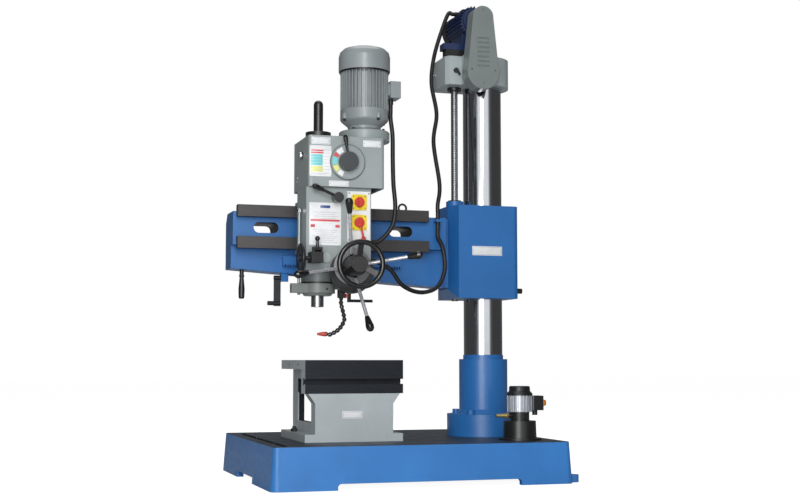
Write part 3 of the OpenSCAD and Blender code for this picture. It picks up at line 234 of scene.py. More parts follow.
def metal(name, rgb, rough=0.3, lines=(60, 60, 900), metallic=1.0, bump=0.12, spread=0.16,
          soil=0.25, bevel=0.0012):
    s = Shade(name)
    tone, gloss, grain = metal_layer(s, srgb(*rgb), rough, lines, spread, soil)
    return s.finish(tone, gloss, metallic, grain, bump, FINE_DEPTH, bevel)


def plastic(name, rgb, rough=0.3, grain=900, bump=0.05, bevel=0.0012, coat=0.0):
    s = Shade(name)
    colour = srgb(*rgb)
    scuff = s.noise(70, 6)
    tone = s.mix(s.remap(s.noise(9), 0.3, 0.7), toned(colour, 0.86), toned(colour, 1.12))
    tone = s.mix(s.remap(scuff, 0.60, 0.80, 0.0, 0.20), tone, toned(colour, 1.8))
    s.bsdf.inputs["Coat Weight"].default_value = coat
    return s.finish(tone, s.remap(scuff, 0.3, 0.75, rough - 0.06, rough + 0.14), 0.0,
                    s.noise(grain, 2), bump, FINE_DEPTH, bevel)


def zoned(name, rgb, dark, mask_of, lines):
    """Painted casting with a machined zone, told apart by place in the row frame."""
    s = Shade(name)
    paint, paint_gloss, paint_metal = paint_layer(s, srgb(*rgb), PAINT_ROUGH, PAINT_WEAR)
    bare, bare_gloss, grain = metal_layer(s, srgb(*dark), 0.42, lines, 0.22)
    mask = mask_of(s)
    tone = s.mix(mask, paint, bare)
    gloss = s.blend(mask, paint_gloss, bare_gloss)
    metallic = s.blend(mask, paint_metal, 0.75)
    height = s.blend(mask, s.peel(), grain)
    return s.finish(tone, gloss, metallic, height, 0.12, PEEL_DEPTH, PAINT_BEVEL)


def two_tone(name, rgb, other, mask_of, gloss=(PAINT_ROUGH, PAINT_ROUGH), metals=(0.0, 0.0)):
    """Two coats on one piece, told apart by place in the row frame."""
    s = Shade(name)
    mask = mask_of(s)
    a, a_gloss, a_metal = paint_layer(s, srgb(*rgb), gloss[0], 0.4)
    b, b_gloss, b_metal = paint_layer(s, srgb(*other), gloss[1], 0.3, DARK_CHIP)
    metallic = s.blend(mask, s.math("MAXIMUM", a_metal, metals[0]),
                       s.math("MAXIMUM", b_metal, metals[1]))
    return s.finish(s.mix(mask, a, b), s.blend(mask, a_gloss, b_gloss), metallic, s.peel(), 0.08,
                    PEEL_DEPTH, 0.0018)


def threaded(name, rgb, pitch):
    """Screw thread: a saw tooth that climbs one pitch a turn about the screw's own axis."""
    s = Shade(name)
    x = s.math("SUBTRACT", s.axis("X"), SCREW_AXIS[0] * MM)
    turn = s.math("DIVIDE", s.math("ARCTAN2", s.axis("Y"), x), 2 * math.pi)
    climb = s.math("SUBTRACT", s.math("DIVIDE", s.axis("Z"), pitch), turn)
    tooth = s.math("PINGPONG", climb, 0.5)
    colour = srgb(*rgb)
    # Darker thread roots and lighter crests are painted shade and painted highlight that follow
    # the tooth
    tone = s.mix(s.remap(tooth, 0.05, 0.4), toned(colour, 0.6), toned(colour, 1.1))
    tone = s.mix(s.remap(s.noise(60, 5), 0.45, 0.75, 0.0, 0.3), tone, toned(colour, 0.5))
    return s.finish(tone, s.remap(s.noise(90), 0.3, 0.7, 0.28, 0.45), 0.9, tooth, 0.45, 0.002)


def ruled(name, rgb, paint, step):
    """Graduated rod over a painted clamp ring: fine dark lines across the bright bar."""
    s = Shade(name)
    coat, coat_gloss, coat_metal = paint_layer(s, srgb(*paint), 0.38, 0.4)
    rod = s.remap(s.axis("Z"), 0.7972, 0.7978)
    saw = s.math("FRACT", s.math("DIVIDE", s.axis("Z"), step))
    line = s.remap(saw, 0.12, 0.18, 1.0, 0.0)
    tone = s.mix(rod, coat, s.mix(line, srgb(*rgb), srgb(112, 119, 119)))
    gloss = s.blend(rod, coat_gloss, s.remap(s.noise(80), 0.3, 0.7, 0.30, 0.42))
    return s.finish(tone, gloss, s.blend(rod, coat_metal, 0.6), line, 0.1, FINE_DEPTH, 0.0015)


def printed(name, rgb, rough=0.35):
    """Plate or ink: even colour with faint mottling and scratches."""
    s = Shade(name)
    colour = srgb(*rgb)
    scratch = s.noise(1.0, 5, (40, 40, 700))
    tone = s.mix(s.remap(s.noise(30, 5), 0.35, 0.7), toned(colour, 0.93), toned(colour, 1.04))
    tone = s.mix(s.remap(scratch, 0.62, 0.75, 0.0, 0.15), tone, toned(colour, 0.6))
    gloss = s.remap(scratch, 0.3, 0.7, rough - 0.06, rough + 0.1)
    return s.finish(tone, gloss, 0.0, scratch, 0.04, 0.0002)


# Zones of two-coloured pieces, in the row frame's metres

def between(s, axis, low, high):
    """One inside a slice across the axis, nought outside it."""
    return s.math("MULTIPLY", s.math("GREATER_THAN", s.axis(axis), low),
                  s.math("LESS_THAN", s.axis(axis), high))


def inside(s, x, y, z):
    """One inside a box, nought outside it."""
    return s.math("MULTIPLY", between(s, "X", *x),
                  s.math("MULTIPLY", between(s, "Y", *y), between(s, "Z", *z)))


def disc_mask(s, centre, radius):
    """One inside a round bar along Y, nought outside it."""
    across = s.math("SUBTRACT", s.axis("X"), centre[0] * MM)
    up = s.math("SUBTRACT", s.axis("Z"), centre[1] * MM)
    square = s.math("ADD", s.math("MULTIPLY", across, across), s.math("MULTIPLY", up, up))
    return s.math("LESS_THAN", square, radius * radius)


def base_mask(s):
    """The bare top of the base with its T-slots and trough."""
    return s.math("MAXIMUM", s.remap(s.axis("Z"), 0.1655, 0.1665),
                  inside(s, (-1.03, 0.15), (-0.51, 0.51), (0.10, 0.1662)))


def table_mask(s):
    """The ground plate and slotted front bar, and the hollow behind the windows, darkened as
    painted shade.
    """
    normal = s.add("ShaderNodeNewGeometry").outputs["True Normal"]
    across = s.math("ABSOLUTE", s.add("ShaderNodeSeparateXYZ", {0: normal}).outputs["X"])
    ground = s.math("MULTIPLY", s.remap(s.axis("Z"), 0.3605, 0.3612),
                    s.remap(across, 0.45, 0.55, 1.0, 0.0))
    hollow_shade = inside(s, (-0.826, -0.510), (-0.2265, 0.109), (0.2003, 0.4560))
    return s.math("MAXIMUM", ground, hollow_shade)


def arm_slot_shade_mask(s):
    """Painted shade: the walls of the two windows through the arm, coloured near black."""
    along = s.math("ADD", between(s, "X", -1.056, -0.948), between(s, "X", -0.474, -0.366))
    return s.math("MULTIPLY", along, s.math("MULTIPLY", between(s, "Y", -0.121, 0.043),
                                            between(s, "Z", 1.018, 1.064)))


def head_mask(s):
    """The black hose block, and painted shade that darkens the foot of the head towards the
    bottom.
    """
    painted_shade = s.remap(s.axis("Z"), 0.81, 0.89, 0.62, 0.0)
    return s.math("MAXIMUM", between(s, "Z", 0.70, 0.7795), painted_shade)


def lift_mask(s):
    """The lift motor's black foot plate and cable gland."""
    gland = inside(s, (-0.2, -0.0843), (0.04, 0.07), (2.04, 2.07))
    return s.math("MAXIMUM", between(s, "Z", 1.0, 1.8592), gland)


def pedestal_bolt_mask(s):
    """The painted bolts of the pedestal, not the table's dark ones."""
    return between(s, "X", -0.3, 1.0)


def star_hub_mask(s):
    return disc_mask(s, STAR_CENTRE, 0.047)


def speed_hub_mask(s):
    return disc_mask(s, DIAL_CENTRE, 0.0373)


def terminal_gland_mask(s):
    return between(s, "Z", 1.5, 1.5608)


def clutch_boss_mask(s):
    return between(s, "X", -0.8568, 0.0)


def pump_box_mask(s):
    return between(s, "X", 0.0812, 1.0)


BLUE = (40, 110, 180)
GREY = (148, 157, 157)
MOTOR_GREY = (140, 147, 150)
SOOT = (20, 20, 22)
M = {
    "base": zoned("base_enamel", (50, 122, 194), (72, 80, 92), base_mask, (26, 420, 420)),
    "blue": painted("blue_enamel", BLUE),
    # The near-black second coat is painted shade in the arm's two windows
    "arm": two_tone("arm_enamel_and_slot_shade", (38, 106, 174), (10, 11, 14), arm_slot_shade_mask),
    "bolt": two_tone("stand_bolt_coats", (52, 54, 58), BLUE, pedestal_bolt_mask,
                     (0.38, 0.36), (0.8, 0.0)),
    "lift": two_tone("lift_motor_coats", (20, 42, 84), SOOT, lift_mask),
    "star": two_tone("star_coats", (204, 206, 210), (24, 25, 27), star_hub_mask,
                     (0.22, 0.36), (0.6, 0.0)),
    "speed": two_tone("speed_lever_coats", (19, 19, 20), (60, 65, 68), speed_hub_mask,
                      (0.26, 0.36)),
    "terminal": two_tone("terminal_coats", MOTOR_GREY, (22, 22, 24), terminal_gland_mask,
                         (0.38, 0.40)),
    "ring": painted("ring_enamel", (130, 131, 135), 0.40, 0.3),
    "clutch": two_tone("clutch_coats", (11, 11, 12), (160, 167, 166), clutch_boss_mask,
                       (0.5, 0.4)),
    "pump": two_tone("pump_coats", (186, 190, 197), SOOT, pump_box_mask,
                     (0.30, 0.36), (0.7, 0.0)),
    "head": two_tone("head_coats_and_painted_shade", GREY, (22, 23, 25), head_mask, (0.42, 0.34)),
    "cap": painted("cap_enamel", (168, 178, 180), 0.42),
    # The table's dark zone also paints shade into the hollow behind its windows
    "table": zoned("table_enamel", (174, 183, 187), (40, 44, 50), table_mask, (24, 420, 420)),
    "grey": painted("grey_enamel", GREY, 0.42),
    "motor": painted("motor_enamel", MOTOR_GREY, 0.38),
    "cover": painted("cover_enamel", (123, 132, 131), 0.38),
    "black_paint": painted("black_enamel", (26, 27, 29), 0.34, 0.35),
    "white": painted("white_panel_enamel", (226, 228, 228), 0.38, 0.2),
    "rail": metal("scraped_iron", (74, 72, 72), 0.44, (30, 500, 500), 0.70, 0.12, 0.14),
    "column": metal("ground_column", (188, 191, 196), 0.10, (12, 12, 500), 1.0, 0.012, 0.03,
                    0.10, 0.001),
    "steel": metal("turned_steel", (166, 168, 170), 0.28, (30, 30, 700), 1.0, 0.04, 0.06, 0.15),
    "dark": metal("blackened_steel", (62, 63, 66), 0.38, (200, 200, 200), 0.85, 0.06, 0.10),
    "chrome": metal("polished_chrome", (215, 217, 220), 0.09, (90, 90, 90), 1.0, 0.01, 0.04, 0.10),
    "alloy": metal("extruded_alloy", (196, 200, 206), 0.30, (900, 900, 12), 0.75, 0.06, 0.06,
                   0.12),
    "brass": metal("turned_brass", (204, 184, 128), 0.34, (900, 200, 200), 0.8),
    "bakelite": plastic("black_bakelite", (19, 19, 20), 0.22, 500, 0.05, 0.0015, 0.3),
    # Black moulding, also the ring of painted shadow under the main motor's fan cowl
    "black": plastic("black_moulding_and_shadow", (24, 25, 27), 0.36, 700, 0.10),
    "red": plastic("red_moulding", (206, 42, 30), 0.30, 700, 0.05, 0.001, 0.2),
    "nozzle": plastic("nozzle_moulding", (188, 66, 48), 0.34, 700, 0.05),
    "orange": plastic("orange_moulding", (214, 84, 26), 0.30, 700, 0.05),
    "rubber": plastic("cable_sheath", (24, 24, 26), 0.46, 500, 0.16, 0.0),
    "hose": plastic("hose_link", (20, 20, 23), 0.26, 700, 0.05, 0.0006, 0.4),
    "thread": threaded("lift_thread", (140, 142, 145), 0.010),
    "ruled": ruled("depth_scale", (158, 166, 166), (118, 125, 122), 0.005),
    "plate": printed("plate_white", (232, 234, 236)),
    "line": printed("grey_ink_and_rim_shade", (160, 164, 170)),
    "ink_blue": printed("ink_blue", (58, 84, 140)),
    "ink_red": printed("ink_red", (212, 84, 92)),
    "ink_cyan": printed("ink_cyan", (120, 208, 212)),
    "ink_lime": printed("ink_yellow", (226, 228, 140)),
    # Black ink for marks, also painted shade in bolt sockets and the cowl's air holes
    "black_ink_and_shade": printed("black_ink_and_shade", (40, 42, 46)),
    # Grey ink for marks, also the ring of painted shade on the speed dial's edge
    "grey_ink_and_rim_shade": printed("dark_grey_ink_and_rim_shade", (84, 90, 93)),
    "yellow": printed("switch_yellow", (238, 212, 36), 0.30),
}

NODE_LOOK = {
    # stand
    "base_casting": "base", "column_pedestal": "blue", "stand_bolts": "bolt",
    "column_tube": "column", "work_table": "table", "pump_foot": "black_paint",
    "pump_motor_body": "pump", "pump_motor_cap": "black", "pump_switch": "orange",
    # column top
    "cap_housing": "cap", "lift_motor_body": "lift", "lift_motor_cowl": "black_paint",
    "belt_cover": "cover", "motor_pulley": "rail", "worm_pulley": "rail",
    "lift_belt": "rubber", "lift_screw": "thread",
    # arm
    "arm_casting": "arm", "guide_rails": "rail", "traverse_rack": "arm", "lift_nut": "dark",
    "eye_bolt": "dark", "sleeve_clamp": "dark", "arm_lock_handle": "dark", "arm_crank": "dark",
    # head
    "head_casting": "head", "gearbox_housing": "grey", "motor_adapter": "grey",
    "main_motor_body": "motor", "main_motor_cowl": "motor", "main_terminal_box": "terminal",
    "spindle_guard": "black_paint", "speed_dial": "grey", "speed_lever": "speed",
    "range_lever": "bakelite", "switch_panel": "white", "power_switch": "red",
    "reverse_switch": "red", "feed_housing": "black_paint", "feed_star": "star",
    "feed_knobs": "bakelite", "feed_pinion": "steel", "traverse_wheel": "bakelite",
    "traverse_shaft": "steel", "clutch_block": "clutch", "clutch_lever": "bakelite",
    "fine_feed_wheel": "black", "quill": "steel", "depth_stop": "ruled", "spindle": "steel",
    "spindle_gear": "steel", "idler_gear": "steel", "motor_pinion": "steel",
    "head_lock_lever": "dark", "coolant_nozzle": "nozzle", "valve_handle": "red",
}
for node_name, look in NODE_LOOK.items():
    slots = NODES[node_name].data.materials
    slots.clear()
    slots.append(M[look])


# Cords

SHARP_ANGLE = math.radians(35)
CABLE_SIDES = 16
CABLE_R = 9 * MM
HOSE_R = 8 * MM
ROUTE_STEPS = 8
MOTOR_ROUTE = [(-535, -355, 1539), (-535, -355, 1514), (-535, -355, 1479), (-526, -353, 1410),
               (-524, -350, 1310), (-520, -346, 1214), (-511, -342, 1124), (-518, -338, 1053),
               (-546, -333, 1006), (-582, -330, 975), (-606, -330, 975), (-626, -330, 975)]
UPPER_ROUTE = [(-106, 55, 2055), (-121, 55, 2055), (-138, 55, 2055), (-168, 50, 1985),
               (-214, 32, 1850), (-238, 0, 1720), (-228, -40, 1575), (-256, -80, 1440),
               (-246, -130, 1250), (-262, -152, 1160), (-262, -152, 1120), (-262, -152, 1090)]
LOWER_ROUTE = [(-262, -152, 1090), (-262, -152, 1060), (-262, -152, 1020), (-250, -180, 970),
               (-246, -195, 880), (-285, -210, 803), (-365, -225, 778), (-450, -245, 805),
               (-510, -258, 872), (-586, -262, 905), (-614, -262, 905), (-634, -262, 905)]
HOSE_ROUTE = [(-764, -440, 740), (-764, -440, 730), (-764, -440, 720), (-762, -447, 700),
              (-757, -450, 678), (-754, -450, 650), (-774, -450, 617), (-806, -450, 597),
              (-816, -450, 597), (-826, -450, 597)]


def smooth_line(points):
    """The same smooth line through the route's points that the solids follow."""
    p = [Vector(q) * MM for q in points]
    last = len(p) - 1
    line = []
    for i in range(last):
        a, b, c, d = p[max(i - 1, 0)], p[i], p[i + 1], p[min(i + 2, last)]
        for k in range(ROUTE_STEPS):
            t = k / ROUTE_STEPS
            line.append(0.5 * (2 * b + (c - a) * t + (2 * a - 5 * b + 4 * c - d) * t * t
                               + (3 * b - a - 3 * c + d) * t * t * t))
    line.append(p[last])
    return line


def to_object(name, bm, mats):
    bmesh.ops.recalc_face_normals(bm, faces=bm.faces)
    mesh = bpy.data.meshes.new(name)
    bm.to_mesh(mesh)
    bm.free()
    for m in mats:
        mesh.materials.append(m)
    mesh.shade_smooth()
    mesh.set_sharp_from_angle(angle=SHARP_ANGLE)
    obj = bpy.data.objects.new(name, mesh)
    bpy.context.scene.collection.objects.link(obj)
    return obj


def tube(name, line, radius):
    """A round cable along the line, closed at both ends."""
    bm = bmesh.new()
    turns = [2 * math.pi * k / CABLE_SIDES for k in range(CABLE_SIDES)]
    rings = []
    side = None
    for i, c in enumerate(line):
        t = (line[min(i + 1, len(line) - 1)] - line[max(i - 1, 0)]).normalized()
        if side is None:
            side = t.orthogonal().normalized()
        side = (side - t * side.dot(t)).normalized()
        up = t.cross(side)
        rings.append([bm.verts.new(c + radius * (math.cos(a) * side + math.sin(a) * up))
                      for a in turns])
    for r, q in zip(rings, rings[1:]):
        for k in range(CABLE_SIDES):
            j = (k + 1) % CABLE_SIDES
            bm.faces.new((r[k], r[j], q[j], q[k]))
    bm.faces.new(list(reversed(rings[0])))
    bm.faces.new(rings[-1])
    return to_object(name, bm, [M["rubber"]])


def make_cable(name, route, node):
    line = smooth_line(route)
    obj = tube(name, line, CABLE_R)
    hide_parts(node)
    return obj


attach(make_cable("motor_cable_sheath", MOTOR_ROUTE, "main_motor_cable"), "head")
upper = make_cable("lift_cable_run", UPPER_ROUTE, "lift_cable_upper")
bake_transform(upper)
lower = make_cable("lift_cable_loop", LOWER_ROUTE, "lift_cable_lower")
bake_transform(lower)


# Node groups for things that repeat

class Group:
    """A geometry node group with named inputs."""

    def __init__(self, name, inputs):
        self.tree = bpy.data.node_groups.new(name, "GeometryNodeTree")
        face = self.tree.interface
        face.new_socket("Geometry", in_out="OUTPUT", socket_type="NodeSocketGeometry")
        self.ids = {}
        for key, kind in inputs:
            socket = face.new_socket(key, in_out="INPUT", socket_type="NodeSocket" + kind)
            self.ids[key] = socket.identifier
        self.inp = self.tree.nodes.new("NodeGroupInput")
        self.outp = self.tree.nodes.new("NodeGroupOutput")

    def add(self, kind, inputs=None, **props):
        n = self.tree.nodes.new(kind)
        for key, value in props.items():
            setattr(n, key, value)
        for key, value in (inputs or {}).items():
            if isinstance(value, bpy.types.NodeSocket):
                self.tree.links.new(value, n.inputs[key])
            else:
                n.inputs[key].default_value = value
        return n

    def get(self, key):
        return self.inp.outputs[key]

    def times(self, key, factor):
        return self.add("ShaderNodeMath", {0: self.get(key), 1: factor},
                        operation="MULTIPLY").outputs[0]

    def raised(self, geometry, height):
        move = self.add("ShaderNodeCombineXYZ", {2: height}).outputs[0]
        return self.add("GeometryNodeTransform", {"Geometry": geometry,
                                                  "Translation": move}).outputs[0]

    def coated(self, geometry, key):
        return self.add("GeometryNodeSetMaterial", {"Geometry": geometry,
                                                    "Material": self.get(key)}).outputs[0]

    def join(self, *parts):
        n = self.add("GeometryNodeJoinGeometry")
        for p in parts:
            self.tree.links.new(p, n.inputs[0])
        return n.outputs[0]

    def strewn(self, points, instance, rotation):
        """The instance set on every point, as real faces."""
        put = self.add("GeometryNodeInstanceOnPoints", {"Points": points, "Instance": instance,
                                                        "Rotation": rotation}).outputs[0]
        return self.add("GeometryNodeRealizeInstances", {0: put}).outputs[0]

    def close(self, geometry):
        self.tree.links.new(geometry, self.outp.inputs[0])
        return self


def head_group():
    """A round bolt head whose socket is a dark disc of painted shade, set on each point of the
    mesh.
    """
    g = Group("bolt_heads", [("Points", "Geometry"), ("Radius", "Float"), ("Height", "Float"),
                             ("Facing", "Vector"), ("Metal", "Material"), ("Socket", "Material")])
    body = g.add("GeometryNodeMeshCylinder", {"Vertices": 20, "Radius": g.get("Radius"),
                                              "Depth": g.get("Height")}).outputs[0]
    crown = g.add("GeometryNodeMeshCone", {"Vertices": 20, "Radius Top": g.times("Radius", 0.86),
                                           "Radius Bottom": g.get("Radius"),
                                           "Depth": g.times("Height", 0.35)}).outputs[0]
    # The socket disc, in the Socket material, is painted shade
    hole = g.add("GeometryNodeMeshCylinder", {"Vertices": 6, "Radius": g.times("Radius", 0.55),
                                              "Depth": g.times("Height", 0.35)}).outputs[0]
    solid = g.join(g.raised(body, g.times("Height", 0.5)), g.raised(crown, g.get("Height")))
    bolt = g.join(g.coated(solid, "Metal"),
                  g.coated(g.raised(hole, g.times("Height", 1.2)), "Socket"))
    return g.close(g.strewn(g.get("Points"), bolt, g.get("Facing")))


def link_group():
    """Ball and socket links, set one after another along a curve."""
    g = Group("hose_links", [("Line", "Geometry"), ("Count", "Int"), ("Radius", "Float"),
                             ("Length", "Float"), ("Look", "Material")])
    spots = g.add("GeometryNodeCurveToPoints", {"Curve": g.get("Line"), "Count": g.get("Count")})
    skirt = g.add("GeometryNodeMeshCone", {"Vertices": 20, "Side Segments": 3,
                                           "Radius Top": g.times("Radius", 0.66),
                                           "Radius Bottom": g.get("Radius"),
                                           "Depth": g.get("Length")})
    ball = g.add("GeometryNodeMeshUVSphere", {"Segments": 20, "Rings": 10,
                                              "Radius": g.times("Radius", 0.84)})
    link = g.join(skirt.outputs[0], ball.outputs[0])
    solid = g.strewn(spots.outputs["Points"], link, spots.outputs["Rotation"])
    return g.close(g.coated(solid, "Look"))


def slat_group():
    """Equal bars laid along a line of points."""
    g = Group("slats", [("Points", "Geometry"), ("Size", "Vector"), ("Turn", "Vector"),
                        ("Look", "Material")])
    bar = g.add("GeometryNodeMeshCube", {"Size": g.get("Size")}).outputs[0]
    return g.close(g.coated(g.strewn(g.get("Points"), bar, g.get("Turn")), "Look"))


def tick_group():
    """Bars set round a circle that faces -Y, each pointing to its centre."""
    g = Group("ticks", [("Count", "Int"), ("Radius", "Float"), ("Size", "Vector"),
                        ("Centre", "Vector"), ("Look", "Material")])
    ring = g.add("GeometryNodeCurvePrimitiveCircle", {"Resolution": g.get("Count"),
                                                      "Radius": g.get("Radius")},
                 mode="RADIUS").outputs[0]
    spots = g.add("GeometryNodeCurveToPoints", {"Curve": ring, "Count": g.get("Count")})
    bar = g.add("GeometryNodeMeshCube", {"Size": g.get("Size")}).outputs[0]
    solid = g.strewn(spots.outputs["Points"], bar, spots.outputs["Rotation"])
    stand = g.add("GeometryNodeTransform", {"Geometry": solid, "Translation": g.get("Centre"),
                                            "Rotation": (math.pi / 2, 0, 0)}).outputs[0]
    return g.close(g.coated(stand, "Look"))


HEADS, LINKS, SLATS, TICKS = head_group(), link_group(), slat_group(), tick_group()
FACING = {"-y": (math.pi / 2, 0, 0), "+z": (0, 0, 0)}


def metres(place):
    return tuple(c * MM for c in place)


def grown(name, data, group, values):
    """Runs a node group on the data and keeps the result as a plain mesh."""
    obj = bpy.data.objects.new(name, data)
    bpy.context.scene.collection.objects.link(obj)
    mod = obj.modifiers.new("grow", "NODES")
    mod.node_group = group.tree
    for key, value in values.items():
        mod[group.ids[key]] = value
    graph = bpy.context.evaluated_depsgraph_get()
    mesh = bpy.data.meshes.new_from_object(obj.evaluated_get(graph), depsgraph=graph)
    bpy.data.objects.remove(obj)
    mesh.shade_smooth()
    mesh.set_sharp_from_angle(angle=SHARP_ANGLE)
    solid = bpy.data.objects.new(name, mesh)
    bpy.context.scene.collection.objects.link(solid)
    return solid


def dots(points):
    mesh = bpy.data.meshes.new("dots")
    mesh.from_pydata([metres(p) for p in points], [], [])
    return mesh


def around(axis, radius, count, start=0):
    """Places spaced evenly round an upright axis, as (x, y)."""
    angles = [math.radians(start + 360 * k / count) for k in range(count)]
    return [(axis[0] + radius * math.cos(a), axis[1] + radius * math.sin(a)) for a in angles]


def bolts(name, body, points, facing, radius, height, look="dark"):
    obj = grown(name, dots(points), HEADS,
                {"Radius": radius * MM, "Height": height * MM, "Facing": FACING[facing],
                 "Metal": M[look], "Socket": M["black_ink_and_shade"]})
    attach(obj, body)


def slats(name, body, points, size, look, turn=(0, 0, 0)):
    obj = grown(name, dots(points), SLATS, {"Size": metres(size), "Turn": turn, "Look": M[look]})
    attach(obj, body)


def tick_ring(name, count, radius, size, centre, look):
    """A ring of marks on one of the head's round faces."""
    obj = grown(name, bpy.data.meshes.new("empty"), TICKS,
                {"Count": count, "Radius": radius * MM, "Size": metres(size),
                 "Centre": metres(centre), "Look": M[look]})
    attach(obj, "head")


def hose():
    line = smooth_line(HOSE_ROUTE)
    curve = bpy.data.curves.new("hose_line", "CURVE")
    curve.dimensions = "3D"
    spline = curve.splines.new("POLY")
    spline.points.add(len(line) - 1)
    for point, c in zip(spline.points, line):
        point.co = (*c, 1.0)
    obj = grown("coolant_links", curve, LINKS,
                {"Count": 12, "Radius": 1.2 * HOSE_R, "Length": 10.5 * MM, "Look": M["hose"]})
    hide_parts("coolant_hose")
    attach(obj, "head")


hose()


# Plates, rings and other small pieces, in millimetres

def circle(radius, n):
    angles = [2 * math.pi * i / n for i in range(n)]
    return [(radius * math.cos(a), radius * math.sin(a)) for a in angles]


def oblong(w, h):
    return [(-w / 2, -h / 2), (w / 2, -h / 2), (w / 2, h / 2), (-w / 2, h / 2)]


def rounded(w, h, r, n=5):
    pts = []
    corners = ((w / 2 - r, h / 2 - r, 0), (-w / 2 + r, h / 2 - r, 90),
               (-w / 2 + r, -h / 2 + r, 180), (w / 2 - r, -h / 2 + r, 270))
    for cx, cy, a0 in corners:
        for k in range(n + 1):
            a = math.radians(a0 + 90 * k / n)
            pts.append((cx + r * math.cos(a), cy + r * math.sin(a)))
    return pts


def sector(r0, r1, a0, a1, n=10):
    angles = [math.radians(a0 + (a1 - a0) * k / n) for k in range(n + 1)]
    return [(r1 * math.cos(a), r1 * math.sin(a)) for a in angles] + \
        [(r0 * math.cos(a), r0 * math.sin(a)) for a in reversed(angles)]


# Each face's directions: across, up, and out of it
FACES = {
    "front": (Vector((1, 0, 0)), Vector((0, 0, 1)), Vector((0, -1, 0))),
    "left": (Vector((0, -1, 0)), Vector((0, 0, 1)), Vector((-1, 0, 0))),
    "right": (Vector((0, 1, 0)), Vector((0, 0, 1)), Vector((1, 0, 0))),
    "top": (Vector((1, 0, 0)), Vector((0, 1, 0)), Vector((0, 0, 1))),
}


def on_face(origin, face, u, v, h=0):
    """The place that lies u across, v up and h out from the origin."""
    across, up, out = FACES[face]
    return Vector(origin) + across * u + up * v + out * h


class Piece:
    """One mesh piece of several slabs and turned forms."""

    def __init__(self, name, body, looks):
        self.name, self.body, self.looks = name, body, looks
        self.bm = bmesh.new()

    def ring(self, outline, origin, face, h):
        return [self.bm.verts.new(on_face(origin, face, u, v, h) * MM) for u, v in outline]

    def skin(self, rings, look, caps=True):
        n = len(rings[0])
        for r, q in zip(rings, rings[1:]):
            for i in range(n):
                j = (i + 1) % n
                self.bm.faces.new((r[i], r[j], q[j], q[i])).material_index = look
        if caps:
            self.bm.faces.new(list(reversed(rings[0]))).material_index = look
            self.bm.faces.new(rings[-1]).material_index = look

    def slab(self, outline, origin, face, h0, h1, look=0, chamfer=0.3):
        """A flat plate with a chamfer round its outer face."""
        cx = sum(p[0] for p in outline) / len(outline)
        cy = sum(p[1] for p in outline) / len(outline)
        reach = max(math.hypot(p[0] - cx, p[1] - cy) for p in outline)
        k = 1 - chamfer / reach
        rings = []
        for h, scale in ((h0, 1), (h1 - chamfer * 0.6, 1), (h1, k)):
            drawn = [(cx + (p[0] - cx) * scale, cy + (p[1] - cy) * scale) for p in outline]
            rings.append(self.ring(drawn, origin, face, h))
        self.skin(rings, look)

    def turned(self, profile, origin, face, look=0, n=40, closed=False):
        """A profile of (radius, height) spun about the face's outward direction."""
        rings = [self.ring(circle(r, n), origin, face, h) for r, h in profile]
        if closed:
            rings.append(rings[0])
        self.skin(rings, look, not closed)

    def holed_plate(self, w, h, r, hole, origin, face, h0, h1, n=48):
        """A square plate with cut corners and a round hole."""
        corner = math.hypot(w, h) / 2 - r
        outer = []
        for c, s in circle(1, n):
            k = min(w / 2 / max(abs(c), 1e-6), h / 2 / max(abs(s), 1e-6), corner)
            outer.append((c * k, s * k))
        inner = circle(hole, n)
        rings = [self.ring(outline, origin, face, z)
                 for outline, z in ((inner, h0), (outer, h0), (outer, h1), (inner, h1))]
        rings.append(rings[0])
        self.skin(rings, 0, False)

    def done(self):
        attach(to_object(self.name, self.bm, [M[k] for k in self.looks]), self.body)


PLATE_T = 0.9
INK_FOOT, INK_TOP = 0.7, 1.05
RIVET = [(1.8, 0.5), (1.8, 1.2), (0.05, 1.9)]
DOMED_RIVET = [(2.2, 0.5), (2.2, 1.3), (1.2, 2.0), (0.05, 2.2)]


def bars(p, origin, face, rows, look):
    """Thin printed blocks: (centre across, centre up, width, height)."""
    for x, y, w, t in rows:
        p.slab(oblong(w, t), on_face(origin, face, x, y), face, INK_FOOT, INK_TOP, look, 0.05)


def corner_rivets(p, origin, x, z, look):
    for u in (-x, x):
        for v in (-z, z):
            p.turned(RIVET, on_face(origin, "front", u, v), "front", look, 12)


def bare_plate(name, body, origin, w, h, border="ink_blue"):
    """A plate with no lettering: a thin border line and two rivets."""
    p = Piece(name, body, ["plate", border, "alloy"])
    p.slab(rounded(w, h, 3), origin, "front", 0, PLATE_T, 0)
    across, up = w / 2 - 3.5, h / 2 - 3.5
    bars(p, origin, "front", [(0, up, w - 10, 0.9), (0, -up, w - 10, 0.9),
                              (-across, 0, 0.9, h - 10), (across, 0, 0.9, h - 10)], 1)
    for side in (-1, 1):
        p.turned(DOMED_RIVET, on_face(origin, "front", side * (w / 2 - 6), 0), "front", 2, 12)
    p.done()


def chart_plate():
    """Speed chart: coloured blocks and grey rules, no lettering."""
    origin = (-860, GEAR_Y, 1274)
    p = Piece("speed_chart", "head", ["plate", "ink_red", "ink_cyan", "ink_lime", "line", "alloy"])
    p.slab(rounded(88, 122, 3), origin, "front", 0, PLATE_T, 0)
    bars(p, origin, "front", [(-13, 41 - 9 * i, 50, 5.5) for i in range(2)], 1)
    bars(p, origin, "front", [(-15, 20 - 11 * i, 48, 10.2) for i in range(4)], 2)
    bars(p, origin, "front", [(-15, -27 - 11 * i, 48, 10.2) for i in range(2)], 3)
    bars(p, origin, "front", [(24, 44 - 13 * i, 28, 0.8) for i in range(8)], 4)
    bars(p, origin, "front", [(-2, -50, 70, 1.2), (-2, -54, 50, 0.8)], 4)
    corner_rivets(p, origin, 40, 57, 5)
    p.done()


